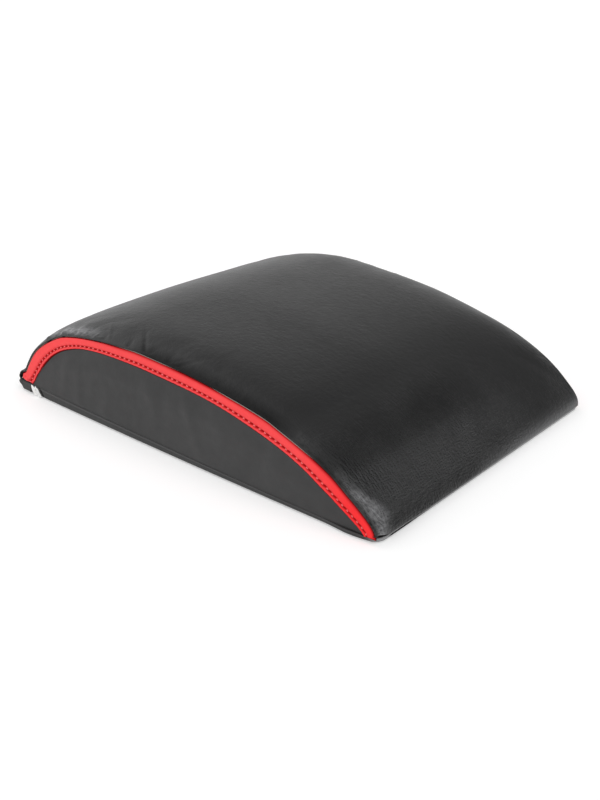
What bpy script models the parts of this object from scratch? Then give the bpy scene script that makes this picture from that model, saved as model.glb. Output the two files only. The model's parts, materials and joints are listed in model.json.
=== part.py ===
# Ab mat: a wedge of foam with an arched top, in a sewn cover with a zip along its back end.
# Metres, +Z up. +X points to the thin front end, the zip is at -X, and Z is 0 under the base.
import math

import bmesh
import bpy
import numpy as np
from mathutils import Matrix, Vector

# The arch at the side seams, from the back foot to the front foot
ARCH_LENGTH = 0.366
ARCH_TOP = 0.0748
CREST_FROM_BACK = 0.1352
BACK_POWERS = (2.45, 1.56)      # superellipse powers of the back quarter, along X and along Z
FRONT_POWERS = (2.14, 1.64)

# The padding between the side seams
WIDTH = 0.300                   # over the outer faces of the two trim bands
CROWN = 0.0084                  # rise of the padding over the side seams
CROWN_POWER = 8.5               # a high power keeps the middle flat and rolls the edges over
BACK_SWELL = 0.040              # length of arch over which the crown builds up
FRONT_SWELL = 0.016

# Sheet, seams and clearances
VINYL = 0.0012
GAP = 0.0003                    # between pieces that touch
BASE_VINYL = 0.0015
SEAM_BACK = 0.009               # height of the base's turned-up edge at the back foot
SEAM_FRONT = 0.0035
SEAM_POWER = 2.5
TRIM_WIDTH = 0.0125
TRIM_THICKNESS = 0.0012

# The zip, across its run
TAPE_WIDTH = 0.0084
TAPE_THICKNESS = 0.0006
TAPE_SLOT = 0.0012              # between the two tapes, for the slider's neck
TOOTH_LENGTH = 0.0010
COIL_BACK_WIDTH = 0.0010        # the strip that the teeth stand on
COIL_HEIGHT = 0.0014
STOP_LIP = 0.0002               # the stops reach this far past the teeth's back strip
STOP_HEIGHT = 0.0017
WALL_CLEARANCE = 0.0006         # between the teeth's back strip and the slider's walls
WING_CLEARANCE = 0.0007         # between the tapes and the slider's inner wing
CHANNEL_CLEARANCE = 0.0012      # between the inner wing and the foam
CHANNEL_MARGIN = 0.0005         # foam kept clear past the edges of the tapes

# The zip, along its run
CHAIN_FROM_SIDE = 0.011         # from the foam's side to the end of the chain
TOOTH_PITCH = 0.0032
TOOTH_WIDTH = 0.0018
STOP_LENGTH = 0.0020

# The slider and its pull
SLIDER_LENGTH = 0.0090
SLIDER_TAPER = 0.0025
WING_THICKNESS = 0.0010
WALL_THICKNESS = 0.0010
INNER_WING_WIDTH = 0.0070
NECK_LENGTH = 0.0030
BRIDGE_LENGTH = 0.0076
BRIDGE_WIDTH = 0.0016
BRIDGE_THICKNESS = 0.0008
PULL_LENGTH = 0.026
PULL_WIDTH = 0.006
PULL_THICKNESS = 0.0012
PULL_CLEARANCE = 0.00035        # round the hinge bar and the bridge
PULL_BAR_RADIUS = 0.0005
PULL_ARM_END = 0.00055          # the arms reach this far past the hinge
PULL_HOLE_RADIUS = 0.0012
PULL_HOLE_FROM_TIP = 0.0035

# The blank care label, sewn into the side seam near the back
LABEL_FROM_BACK = 0.012
LABEL_WIDTH = 0.0095
LABEL_SLANT = 0.003             # its lower edge hangs this much further to the front
LABEL_OFF_FLOOR = 0.0009
LABEL_THICKNESS = 0.0005
LABEL_CURL = 0.0006
LABEL_DROP_SHARES = (0.0, 0.35, 0.7, 1.0)

OVERRUN = 0.0005                # how far joined shapes reach into each other and cuts run past
CURVE_STEPS = 400
ARCH_SEGMENTS = 36
CROSS_SEGMENTS = 14
SEAM_SEGMENTS = 12
CORNER_SEGMENTS = 3
ROUND_SEGMENTS = 16
SEARCH_STEPS = 40

# Worked out across the mat
SIDE_INNER = WIDTH / 2 - TRIM_THICKNESS - GAP - VINYL   # inner face of a side panel, from the middle
FOAM_HALF = SIDE_INNER - GAP

# Worked out across the zip, from the middle of its chain
TOOTH_ROOT = TAPE_SLOT / 2 + TOOTH_LENGTH
COIL_BACK = TOOTH_ROOT + COIL_BACK_WIDTH
SLIDER_WIDTH = 2 * (COIL_BACK + WALL_CLEARANCE + WALL_THICKNESS)
SLIDER_TAIL_WIDTH = SLIDER_WIDTH - 2 * WALL_THICKNESS
ZIP_WINDOW = SLIDER_WIDTH / 2 + GAP                     # to the hem of the cover and to the base
ZIP_FROM_FOOT = ZIP_WINDOW + GAP                        # up the arch from the back foot
HEM = ZIP_FROM_FOOT + ZIP_WINDOW

# Worked out through the zip, outwards from the face of its tapes
WING_BASE = GAP + COIL_HEIGHT + GAP
WING_TOP = WING_BASE + WING_THICKNESS
INNER_WING_TOP = -TAPE_THICKNESS - WING_CLEARANCE
CHANNEL_DEPTH = WING_THICKNESS + CHANNEL_CLEARANCE - INNER_WING_TOP
BRIDGE_OPENING = PULL_THICKNESS + 2 * PULL_CLEARANCE
HINGE_HEIGHT = WING_TOP + BRIDGE_OPENING / 2
BRIDGE_TOP = WING_TOP + BRIDGE_OPENING + BRIDGE_THICKNESS
PULL_EYE_WIDTH = BRIDGE_WIDTH + 2 * PULL_CLEARANCE
PULL_EYE = math.hypot(BRIDGE_LENGTH / 2, BRIDGE_TOP - HINGE_HEIGHT) + PULL_CLEARANCE
CHAIN_HALF = FOAM_HALF - CHAIN_FROM_SIDE
SLIDER_REST = CHAIN_HALF - GAP - SLIDER_LENGTH / 2


# The outline of the side view

def superellipse_quarter(turns, powers):
    """Shares along and up, 0 to 1, of a quarter that runs from its top, turn 0, to its foot, turn 1."""
    angles = turns * math.pi / 2
    return np.sin(angles) ** (2 / powers[0]), np.abs(np.cos(angles)) ** (2 / powers[1])


def outline_curve():
    """X, Z and length along the outline: floor, back foot (length 0), crest, front foot, floor."""
    turns = np.linspace(0, 1, CURVE_STEPS)
    along, up = superellipse_quarter(turns[::-1], BACK_POWERS)
    back = np.stack([CREST_FROM_BACK * (1 - along), SEAM_BACK + (ARCH_TOP - SEAM_BACK) * up], axis=1)
    along, up = superellipse_quarter(turns[1:], FRONT_POWERS)
    front_run = ARCH_LENGTH - CREST_FROM_BACK
    front = np.stack([CREST_FROM_BACK + front_run * along, SEAM_FRONT + (ARCH_TOP - SEAM_FRONT) * up], axis=1)
    points = np.concatenate([[[0, 0]], back, front, [[ARCH_LENGTH, 0]]])
    lengths = np.concatenate([[0], np.cumsum(np.hypot(*np.diff(points, axis=0).T))])
    return points, lengths - SEAM_BACK


OUTLINE, OUTLINE_LENGTHS = outline_curve()
FRONT_FOOT = OUTLINE_LENGTHS[-1] - SEAM_FRONT


def outline_point(length):
    """Point of the outline, as (x, z), and its outward normal."""
    step = ARCH_LENGTH / CURVE_STEPS
    reach = np.clip([length - step, length, length + step], OUTLINE_LENGTHS[0], OUTLINE_LENGTHS[-1])
    xs = np.interp(reach, OUTLINE_LENGTHS, OUTLINE[:, 0])
    zs = np.interp(reach, OUTLINE_LENGTHS, OUTLINE[:, 1])
    tangent = Vector((xs[2] - xs[0], zs[2] - zs[0])).normalized()
    return Vector((xs[1], zs[1])), Vector((-tangent.y, tangent.x))


def lifted(length, lift):
    """The outline's point, lifted off it along its normal."""
    point, normal = outline_point(length)
    return point + normal * lift


def seam_height(x):
    """Height of the seam between the base's turned-up edge and a side panel."""
    share = min(max(x / ARCH_LENGTH, 0), 1)
    return SEAM_FRONT + (SEAM_BACK - SEAM_FRONT) * (1 - share ** SEAM_POWER)


def length_over_seam(inset, low, high):
    """Length, between one below the seam and one above it, where the inset outline clears the seam."""
    for _ in range(SEARCH_STEPS):
        middle = (low + high) / 2
        point = lifted(middle, -inset)
        if point.y < seam_height(point.x) + GAP:
            low = middle
        else:
            high = middle
    return high


COVER_END = FRONT_FOOT - GAP
CREST = float(np.interp(CREST_FROM_BACK, OUTLINE[:, 0], OUTLINE_LENGTHS))


def swell(length):
    """Share of the crown at a length along the arch: a quarter sine that rises from each end."""
    back = min(max((length - HEM) / BACK_SWELL, 0), 1)
    front = min(max((COVER_END - length) / FRONT_SWELL, 0), 1)
    return math.sin(back * math.pi / 2) * math.sin(front * math.pi / 2)


def padding_point(length, y, half, lift):
    """Point of the padded top at a length along the arch and a distance y from the middle."""
    across = min(abs(y) / half, 1)
    rise = CROWN * swell(length) * (1 - across ** CROWN_POWER)
    point = lifted(length, rise + lift)
    return Vector((point.x, y, point.y))


def arch_stations(first, last):
    """Lengths along the arch, closer together towards its ends."""
    turns = np.linspace(0, math.pi, ARCH_SEGMENTS + 1)
    return [float(value) for value in first + (last - first) * (1 - np.cos(turns)) / 2]


COVER_STATIONS = arch_stations(HEM, COVER_END)
CROSS_SHARES = [math.sin(math.pi * (i / CROSS_SEGMENTS - 1 / 2)) for i in range(CROSS_SEGMENTS + 1)]
CROSS_STATIONS = [share * WIDTH / 2 for share in CROSS_SHARES]

# The frame of the zip: its X runs to -Y, its Y up the back and its Z outwards
ZIP_POINT, ZIP_NORMAL = outline_point(ZIP_FROM_FOOT)

# The middle of the whole length becomes X 0
FRONT_REACH = max(padding_point(length, 0, WIDTH / 2, GAP + VINYL).x for length in COVER_STATIONS)
BACK_REACH = ZIP_POINT.x + ZIP_NORMAL.x * BRIDGE_TOP - abs(ZIP_NORMAL.y) * BRIDGE_WIDTH / 2
MIDDLE = (FRONT_REACH + BACK_REACH) / 2


# Helpers

def clear_scene():
    for item in list(bpy.data.objects):
        bpy.data.objects.remove(item, do_unlink=True)


def finish_material(name, color, roughness, metallic=0.0):
    material = bpy.data.materials.new(name)
    material.use_nodes = True
    shader = material.node_tree.nodes["Principled BSDF"]
    shader.inputs["Base Color"].default_value = (*color, 1)
    shader.inputs["Roughness"].default_value = roughness
    shader.inputs["Metallic"].default_value = metallic
    return material


def add_object(name, bm, material):
    """Turn a bmesh into an object with its faces pointing out."""
    bmesh.ops.recalc_face_normals(bm, faces=bm.faces)
    mesh = bpy.data.meshes.new(name)
    bm.to_mesh(mesh)
    bm.free()
    if material:
        mesh.materials.append(material)
    item = bpy.data.objects.new(name, mesh)
    bpy.context.collection.objects.link(item)
    return item


def shade_round(item, sharp_degrees=40):
    item.data.shade_smooth()
    item.data.set_sharp_from_angle(angle=math.radians(sharp_degrees))


def loft(name, rings, material):
    """Closed body through rings of equal counts, with a face over each end."""
    bm = bmesh.new()
    loops = [[bm.verts.new(point) for point in ring] for ring in rings]
    for low, high in zip(loops, loops[1:]):
        for i in range(len(low)):
            j = (i + 1) % len(low)
            bm.faces.new((low[i], low[j], high[j], high[i]))
    bm.faces.new(loops[0])
    bm.faces.new(loops[-1])
    return add_object(name, bm, material)


def prism(name, outline, low, high, material):
    """Outline in X and Y, extruded along Z from low to high."""
    bm = bmesh.new()
    face = bm.faces.new([bm.verts.new((x, y, low)) for x, y in outline])
    grown = bmesh.ops.extrude_face_region(bm, geom=[face])["geom"]
    top = [item for item in grown if isinstance(item, bmesh.types.BMVert)]
    bmesh.ops.translate(bm, vec=(0, 0, high - low), verts=top)
    return add_object(name, bm, material)


def box_outline(low_x, high_x, low_y, high_y):
    return [(low_x, low_y), (high_x, low_y), (high_x, high_y), (low_x, high_y)]


def combine(item, tool, operation):
    """Join or cut one shape with another, which is left as a hidden guide."""
    tool.hide_render = True
    tool.display_type = "WIRE"
    tool.parent = item
    step = item.modifiers.new(tool.name, "BOOLEAN")
    step.object = tool
    step.operation = operation
    step.solver = "EXACT"


def thicken(item, thickness):
    """Give an open sheet its thickness, on the side that its faces point to."""
    wall = item.modifiers.new("thickness", "SOLIDIFY")
    wall.thickness = thickness
    wall.offset = 1


def add_frame(name, place, parent=None):
    frame = bpy.data.objects.new(name, None)
    bpy.context.collection.objects.link(frame)
    frame.parent = parent
    frame.matrix_local = place
    return frame


def centred(point):
    return Vector((point[0] - MIDDLE, point[1], point[2]))


# The padding and its cover

def make_foam_core(material):
    """Foam wedge with the crowned arch on top and a channel behind the zip for the slider."""
    channel_low = ZIP_FROM_FOOT - TAPE_SLOT / 2 - TAPE_WIDTH - CHANNEL_MARGIN
    channel_high = ZIP_FROM_FOOT + TAPE_SLOT / 2 + TAPE_WIDTH + CHANNEL_MARGIN
    stations = [length for length in COVER_STATIONS if length > channel_high]
    floor = BASE_VINYL + GAP
    channel = [lifted(channel_low, 0)]
    channel += [lifted(length, -CHANNEL_DEPTH) for length in (channel_low, 0, ZIP_FROM_FOOT, channel_high)]
    rings = []
    for y in [-FOAM_HALF] + [y for y in CROSS_STATIONS if abs(y) < FOAM_HALF] + [FOAM_HALF]:
        ring = [(ARCH_LENGTH, y, floor), (0, y, floor)] + [(point.x, y, point.y) for point in channel]
        ring += [padding_point(length, y, FOAM_HALF, 0) for length in [channel_high] + stations]
        rings.append([centred(point) for point in ring])
    foam = loft("foam_core", rings, material)
    shade_round(foam)


def make_top_cover(material):
    """One strip of vinyl over the arch, from the hem above the zip to the front of the base."""
    rings = []
    for y in CROSS_STATIONS:
        outside = [padding_point(length, y, WIDTH / 2, GAP + VINYL) for length in COVER_STATIONS]
        inside = [padding_point(length, y, WIDTH / 2, GAP) for length in reversed(COVER_STATIONS)]
        rings.append([centred(point) for point in outside + inside])
    cover = loft("top_cover", rings, material)
    shade_round(cover)


def face_outwards(item, direction):
    """Turn an open sheet so that its faces point the given way on the whole."""
    total = sum((face.normal * face.area for face in item.data.polygons), Vector())
    if total.dot(direction) < 0:
        item.data.flip_normals()


def make_side_panel(name, side, material):
    """Flat panel that closes one side, from the seam with the base up to the arch."""
    first = length_over_seam(0, 0, CREST)
    last = length_over_seam(0, FRONT_FOOT, CREST)
    outline = [tuple(lifted(length, 0)) for length in arch_stations(first, last)]
    front, back = outline[-1][0], outline[0][0]
    for i in range(1, SEAM_SEGMENTS):
        x = front + (back - front) * i / SEAM_SEGMENTS
        outline.append((x, seam_height(x) + GAP))
    bm = bmesh.new()
    bm.faces.new([bm.verts.new(centred((x, side * SIDE_INNER, z))) for x, z in outline])
    panel = add_object(name, bm, material)
    face_outwards(panel, Vector((0, side, 0)))
    thicken(panel, VINYL)


def make_trim_band(name, side, material):
    """Band sewn flat on the side panel along the arch, cut off at the seam with the base."""
    outer = arch_stations(length_over_seam(0, 0, CREST), length_over_seam(0, FRONT_FOOT, CREST))
    inner = arch_stations(length_over_seam(TRIM_WIDTH, 0, CREST),
                          length_over_seam(TRIM_WIDTH, FRONT_FOOT, CREST))
    face = WIDTH / 2 - TRIM_THICKNESS
    bm = bmesh.new()
    rows = []
    for lengths, inset in ((outer, 0), (inner, TRIM_WIDTH)):
        points = [lifted(length, -inset) for length in lengths]
        rows.append([bm.verts.new(centred((point.x, side * face, point.y))) for point in points])
    for i in range(ARCH_SEGMENTS):
        bm.faces.new((rows[0][i], rows[0][i + 1], rows[1][i + 1], rows[1][i]))
    band = add_object(name, bm, material)
    face_outwards(band, Vector((0, side, 0)))
    thicken(band, TRIM_THICKNESS)


def base_outline(inset):
    """Rounded rectangle of the base, as (x, y), drawn in by an inset."""
    reach = GAP + VINYL - inset
    half = SIDE_INNER + VINYL - inset
    radius = GAP + VINYL - inset
    corners = [(-reach + radius, half - radius), (ARCH_LENGTH + reach - radius, half - radius),
               (ARCH_LENGTH + reach - radius, radius - half), (-reach + radius, radius - half)]
    points = []
    for number, (x, y) in enumerate(corners):
        for i in range(CORNER_SEGMENTS + 1):
            angle = math.pi - (number + i / CORNER_SEGMENTS) * math.pi / 2
            points.append((x + radius * math.cos(angle), y + radius * math.sin(angle)))
        if number in (0, 2):
            end = corners[number + 1]
            height = y + radius if y > 0 else y - radius
            for i in range(1, SEAM_SEGMENTS):
                points.append((x + (end[0] - x) * i / SEAM_SEGMENTS, height))
    return points


def make_base_panel(material):
    """Flat base with its edge turned up all round to the seam."""
    outer = base_outline(0)
    inner = base_outline(VINYL)
    rings = [[centred((x, y, 0)) for x, y in outer],
             [centred((x, y, seam_height(x))) for x, y in outer],
             [centred((x, y, seam_height(x))) for x, y in inner],
             [centred((x, y, BASE_VINYL)) for x, y in inner]]
    base = loft("base_panel", rings, material)
    shade_round(base)


# The zip

def make_tape(name, direction, material):
    """Woven tape, sewn under the hem on one side of the chain; it follows the arch."""
    near = ZIP_FROM_FOOT + direction * TAPE_SLOT / 2
    far = near + direction * TAPE_WIDTH
    lengths = sorted([near, far, (near + far) / 2] + ([0] if far < 0 < near else []))
    rings = []
    for y in (-FOAM_HALF, FOAM_HALF):
        outside = [lifted(length, 0) for length in lengths]
        inside = [lifted(length, -TAPE_THICKNESS) for length in reversed(lengths)]
        rings.append([centred((point.x, y, point.y)) for point in outside + inside])
    loft(name, rings, material)


def make_coil(name, direction, zip_frame, material):
    """Row of teeth on one tape: a back strip with a tooth at each pitch, half a pitch off its twin."""
    tip, root, back = (direction * reach for reach in (TAPE_SLOT / 2, TOOTH_ROOT, COIL_BACK))
    count = int(2 * CHAIN_HALF / TOOTH_PITCH) - 1
    start = -count * TOOTH_PITCH / 2 + direction * TOOTH_PITCH / 4
    outline = [(-CHAIN_HALF, root)]
    for i in range(count):
        middle = start + (i + 1 / 2) * TOOTH_PITCH
        low = middle - TOOTH_WIDTH / 2
        high = middle + TOOTH_WIDTH / 2
        outline += [(low, root), (low, tip), (high, tip), (high, root)]
    outline += [(CHAIN_HALF, root), (CHAIN_HALF, back), (-CHAIN_HALF, back)]
    coil = prism(name, outline, GAP, GAP + COIL_HEIGHT, material)
    coil.parent = zip_frame


def make_stop(name, low_y, high_y, end, zip_frame, material):
    """Clip at an end of the chain: end is 1 at the -Y side and -1 at the +Y side."""
    near = end * (CHAIN_HALF + GAP)
    far = near + end * STOP_LENGTH
    outline = box_outline(min(near, far), max(near, far), low_y, high_y)
    stop = prism(name, outline, GAP, GAP + STOP_HEIGHT, material)
    stop.parent = zip_frame


def make_slider(slider_frame, material):
    """Slider body: an outer wing with walls, a thin neck through the slot, an inner wing and a bridge."""
    nose = SLIDER_LENGTH / 2
    half = SLIDER_WIDTH / 2
    tail = SLIDER_TAIL_WIDTH / 2
    wing = [(-nose, -tail), (SLIDER_TAPER - nose, -half), (nose, -half), (nose, half),
            (SLIDER_TAPER - nose, half), (-nose, tail)]
    slider = prism("zipper_slider", wing, WING_BASE, WING_TOP, material)
    slider.parent = slider_frame
    for direction, label in ((-1, "low"), (1, "high")):
        inner = direction * (half - WALL_THICKNESS)
        edges = sorted((inner, direction * half))
        outline = box_outline(SLIDER_TAPER - nose, nose, *edges)
        wall = prism("slider_wall_" + label, outline, GAP, WING_BASE + WING_THICKNESS / 2, material)
        combine(slider, wall, "UNION")
    outline = box_outline(-nose, nose, -INNER_WING_WIDTH / 2, INNER_WING_WIDTH / 2)
    inner_wing = prism("slider_inner_wing", outline, INNER_WING_TOP - WING_THICKNESS, INNER_WING_TOP, material)
    neck_half = TAPE_SLOT / 2 - GAP
    outline = box_outline(nose - OVERRUN - NECK_LENGTH, nose - OVERRUN, -neck_half, neck_half)
    neck = prism("slider_neck", outline, INNER_WING_TOP - WING_THICKNESS / 2, WING_BASE + WING_THICKNESS / 2,
                 material)
    combine(slider, neck, "UNION")
    combine(slider, inner_wing, "UNION")
    combine(slider, make_bridge(material), "UNION")


def make_bridge(material):
    """Flat loop that stands on the outer wing and holds the pull."""
    reach = BRIDGE_LENGTH / 2
    inside = reach - BRIDGE_THICKNESS
    foot = WING_TOP - WING_THICKNESS / 2
    ceiling = WING_TOP + BRIDGE_OPENING
    corner = BRIDGE_THICKNESS
    outline = [(-reach, foot), (-reach, BRIDGE_TOP - corner), (corner - reach, BRIDGE_TOP),
               (reach - corner, BRIDGE_TOP), (reach, BRIDGE_TOP - corner), (reach, foot),
               (inside, foot), (inside, ceiling), (-inside, ceiling), (-inside, foot)]
    bridge = prism("slider_bridge", outline, -BRIDGE_WIDTH / 2, BRIDGE_WIDTH / 2, material)
    bridge.data.transform(Matrix.Rotation(math.pi / 2, 4, "X"))
    return bridge


def make_pull(pull_frame, material):
    """Flat pull with an eye round the bridge's foot, a round hinge bar and a hole at its tip."""
    half = PULL_WIDTH / 2
    outline = [(PULL_ARM_END, -half), (PULL_ARM_END, half)]
    for i in range(ROUND_SEGMENTS // 2 + 1):
        angle = math.pi / 2 + math.pi * i / (ROUND_SEGMENTS // 2)
        outline.append((half - PULL_LENGTH + half * math.cos(angle), half * math.sin(angle)))
    pull = prism("zipper_pull", outline, -PULL_THICKNESS / 2, PULL_THICKNESS / 2, material)
    pull.parent = pull_frame
    past = PULL_THICKNESS / 2 + OVERRUN
    outline = box_outline(-PULL_EYE, PULL_ARM_END + OVERRUN, -PULL_EYE_WIDTH / 2, PULL_EYE_WIDTH / 2)
    eye = prism("pull_eye", outline, -past, past, material)
    combine(pull, eye, "DIFFERENCE")
    hole = round_bar("pull_hole", PULL_HOLE_RADIUS, 2 * past, "Z", material)
    hole.location.x = PULL_HOLE_FROM_TIP - PULL_LENGTH
    combine(pull, hole, "DIFFERENCE")
    bar = round_bar("pull_bar", PULL_BAR_RADIUS, PULL_EYE_WIDTH + 2 * OVERRUN, "Y", material)
    combine(pull, bar, "UNION")


def round_bar(name, radius, length, axis, material):
    """Cylinder centred on its origin along Y or Z."""
    bm = bmesh.new()
    bmesh.ops.create_cone(bm, cap_ends=True, segments=ROUND_SEGMENTS, radius1=radius, radius2=radius,
                          depth=length)
    if axis == "Y":
        bmesh.ops.rotate(bm, verts=bm.verts, cent=(0, 0, 0), matrix=Matrix.Rotation(math.pi / 2, 3, "X"))
    bar = add_object(name, bm, material)
    shade_round(bar)
    return bar


def make_care_label(material):
    """Blank folded label that hangs from the side seam over the base's edge and curls off it."""
    top = SEAM_BACK - GAP
    inner = WIDTH / 2 - TRIM_THICKNESS
    rings = []
    for share in LABEL_DROP_SHARES:
        y = -(inner + LABEL_CURL * share ** 2)
        z = top + (LABEL_OFF_FLOOR - top) * share
        low_x = LABEL_FROM_BACK + LABEL_SLANT * share
        outline = box_outline(low_x, low_x + LABEL_WIDTH, y - LABEL_THICKNESS, y)
        rings.append([centred((x, across, z)) for x, across in outline])
    loft("care_label", rings, material)


def make_zip():
    """The two tapes, their teeth, the stops, the slider and its pull."""
    tape = finish_material("zipper_tape", (0.018, 0.018, 0.019), 0.85)
    nylon = finish_material("zipper_nylon", (0.022, 0.022, 0.024), 0.42)
    metal = finish_material("zipper_metal", (0.06, 0.06, 0.065), 0.35, 0.9)
    place = centred((ZIP_POINT.x, 0, ZIP_POINT.y))
    outward = Vector((ZIP_NORMAL.x, 0, ZIP_NORMAL.y))
    run = Vector((0, -1, 0))
    turn = Matrix((run, outward.cross(run), outward)).transposed().to_4x4()
    zip_frame = add_frame("zip_frame", Matrix.Translation(place) @ turn)
    slider_frame = add_frame("slider_frame", Matrix.Translation((SLIDER_REST, 0, 0)), zip_frame)
    pull_frame = add_frame("pull_frame", Matrix.Translation((0, 0, HINGE_HEIGHT)), slider_frame)
    stop_reach = COIL_BACK + STOP_LIP
    for direction, label in ((1, "upper"), (-1, "lower")):
        make_tape("zipper_tape_" + label, direction, tape)
        make_coil("zipper_coil_" + label, direction, zip_frame, nylon)
        edges = sorted((direction * TAPE_SLOT / 2, direction * stop_reach))
        make_stop("zipper_top_stop_" + label, *edges, 1, zip_frame, metal)
    make_stop("zipper_bottom_stop", -stop_reach, stop_reach, -1, zip_frame, metal)
    make_slider(slider_frame, metal)
    make_pull(pull_frame, metal)


def build_mat():
    clear_scene()
    side_vinyl = finish_material("side_vinyl", (0.055, 0.055, 0.056), 0.55)
    trim = finish_material("red_trim", (0.80, 0.025, 0.022), 0.40)
    make_foam_core(finish_material("foam", (0.10, 0.10, 0.10), 0.95))
    make_top_cover(finish_material("top_vinyl", (0.030, 0.030, 0.031), 0.42))
    make_base_panel(finish_material("base_vinyl", (0.030, 0.030, 0.031), 0.65))
    for side, label in ((-1, "right"), (1, "left")):
        make_side_panel("side_panel_" + label, side, side_vinyl)
        make_trim_band("trim_band_" + label, side, trim)
    make_zip()
    make_care_label(finish_material("label_satin", (0.85, 0.85, 0.85), 0.6))
    bpy.context.view_layer.update()


build_mat()
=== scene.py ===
# Ab mat: a foam wedge with an arched top in a sewn vinyl cover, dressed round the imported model.
# Metres, +Z up. +X points to the thin front end and -Y to the side that the camera sees.
import json
import math

import bmesh
import bpy
import numpy as np
from mathutils import Matrix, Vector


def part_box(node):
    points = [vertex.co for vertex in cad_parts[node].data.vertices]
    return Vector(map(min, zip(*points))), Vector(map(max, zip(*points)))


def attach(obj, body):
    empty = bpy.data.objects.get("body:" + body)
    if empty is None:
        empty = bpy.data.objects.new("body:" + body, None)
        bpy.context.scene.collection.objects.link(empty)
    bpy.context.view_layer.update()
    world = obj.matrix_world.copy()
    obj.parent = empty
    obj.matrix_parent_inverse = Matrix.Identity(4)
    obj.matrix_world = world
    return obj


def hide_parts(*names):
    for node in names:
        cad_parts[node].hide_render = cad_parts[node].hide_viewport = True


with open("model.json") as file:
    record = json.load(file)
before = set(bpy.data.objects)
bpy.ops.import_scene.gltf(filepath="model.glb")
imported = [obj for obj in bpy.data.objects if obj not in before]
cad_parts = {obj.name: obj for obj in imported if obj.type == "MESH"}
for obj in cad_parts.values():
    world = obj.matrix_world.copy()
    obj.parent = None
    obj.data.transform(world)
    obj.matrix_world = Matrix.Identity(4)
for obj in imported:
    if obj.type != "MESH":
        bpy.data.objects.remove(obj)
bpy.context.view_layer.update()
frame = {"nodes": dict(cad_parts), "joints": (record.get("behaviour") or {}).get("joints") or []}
scene = bpy.context.scene
print("frame:", len(frame["nodes"]), "nodes")

# Sizes of the arch, as its maker cut it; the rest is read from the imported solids
arch = {
    "wrap": 0.0015,                 # from the arch's line to the outside of the cover and of the base
    "crestFromBack": 0.1352,
    "backPowers": (2.45, 1.56),     # superellipse powers, along and up
    "frontPowers": (2.14, 1.64),
    "seamFront": 0.0035,            # height of the base seam at the front
    "seamPower": 1.1,
    "steps": 3000,
    # Millimetres that the filled mat stands out from the drawn line, at lengths from the back foot
    "settled": ((7, 0), (10.5, -2.4), (14, -3.1), (19, -2.8), (26, -2.1), (33, -1.1), (45, -0.2), (60, 0),
                (385, 0), (392, 0.3), (398, 1.0), (404, 2.0), (409.4, 2.7), (420, 2.7)),
}
baseLow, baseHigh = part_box("base_panel")
backFoot = baseLow.x + arch["wrap"]
archLength = baseHigh.x - arch["wrap"] - backFoot
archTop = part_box("side_panel_right")[1].z
seamBack = baseHigh.z
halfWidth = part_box("trim_band_left")[1].y
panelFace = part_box("side_panel_left")[1].y      # outer face of a side panel
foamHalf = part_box("foam_core")[1].y
baseTop = 0.0015                                # inside of the base's flat sheet


def smoothStep(values):
    # 3t^2 - 2t^3, held at 0 and 1 outside
    held = np.clip(values, 0, 1)
    return held * held * (3 - 2 * held)


def rise(values, start, length):
    # Smooth step from 0 to 1 that begins at the start
    return smoothStep((values - start) / length)


def stretch(values, start, length, end, fade):
    # A rise at the start and a fall at the end
    return rise(values, start, length) * (1 - rise(values, end, fade))


def bell(values, width):
    # Gaussian hump of height 1
    return np.exp(-(values / width) ** 2)


def unit(vectors):
    # Vectors brought to length 1
    return vectors / np.linalg.norm(vectors, axis=-1, keepdims=True)


def runLength(a, b):
    # Length along a line of points, from its first one
    return np.concatenate([[0], np.cumsum(np.hypot(np.diff(a), np.diff(b)))])


def asPoints(*parts):
    # Coordinates of unlike shapes, spread over one grid and stacked
    return np.stack(np.broadcast_arrays(*parts), axis=-1)


def throughPoints(table, at):
    # Smooth curve through a table in millimetres: a cubic in each gap, whose slope at a point is the harmonic
    # mean of those to both sides, or nothing at a turn, so it never swings past its points
    places, values = np.array(table, float).T / 1000
    steps = np.diff(values) / np.diff(places)
    before, after = steps[:-1], steps[1:]
    both = np.where(before * after > 0, before + after, np.inf)
    slopes = np.concatenate([[0], 2 * before * after / both, [0]])
    k = np.clip(np.searchsorted(places, at) - 1, 0, len(places) - 2)
    gap = places[k + 1] - places[k]
    t = np.clip((at - places[k]) / gap, 0, 1)
    ends = (1 - t) ** 2 * ((1 + 2 * t) * values[k] + t * gap * slopes[k])
    return ends + t ** 2 * ((3 - 2 * t) * values[k + 1] - (1 - t) * gap * slopes[k + 1])


def seamHeight(x):
    # The base seam sinks from back to front: the drop grows with the share along, to a power
    share = np.clip((x - backFoot) / archLength, 0, 1)
    return arch["seamFront"] + (seamBack - arch["seamFront"]) * (1 - share ** arch["seamPower"])


def archOutline():
    # Superellipse quarters on upright runs at both feet: along is sine^(2/p) and up is cosine^(2/q) of one
    # angle. Each point is then moved out square to the line by the settled table
    angles = np.linspace(0, np.pi / 2, arch["steps"])
    sides = []
    runs = ((arch["backPowers"], arch["crestFromBack"], seamBack, -1),
            (arch["frontPowers"], archLength - arch["crestFromBack"], arch["seamFront"], 1))
    for powers, run, foot, direction in runs:
        along = np.sin(angles) ** (2 / powers[0])
        up = np.clip(np.cos(angles), 0, 1) ** (2 / powers[1])
        x = backFoot + arch["crestFromBack"] + direction * run * along
        sides.append(np.stack([x, foot + (archTop - foot) * up], axis=1))
    back, front = sides
    points = np.concatenate([[[backFoot, 0]], back[::-1], front[1:], [[backFoot + archLength, 0]]])
    lengths = runLength(*points.T) - seamBack
    along = unit(np.gradient(points, lengths, axis=0))
    normals = np.stack([-along[:, 1], along[:, 0]], axis=1)
    points = points + normals * throughPoints(arch["settled"], lengths)[:, None]
    return points, runLength(*points.T) - seamBack


outline, outlineLengths = archOutline()
frontFoot = outlineLengths[-1] - arch["seamFront"]
tangents = unit(np.gradient(outline, outlineLengths, axis=0))


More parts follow.
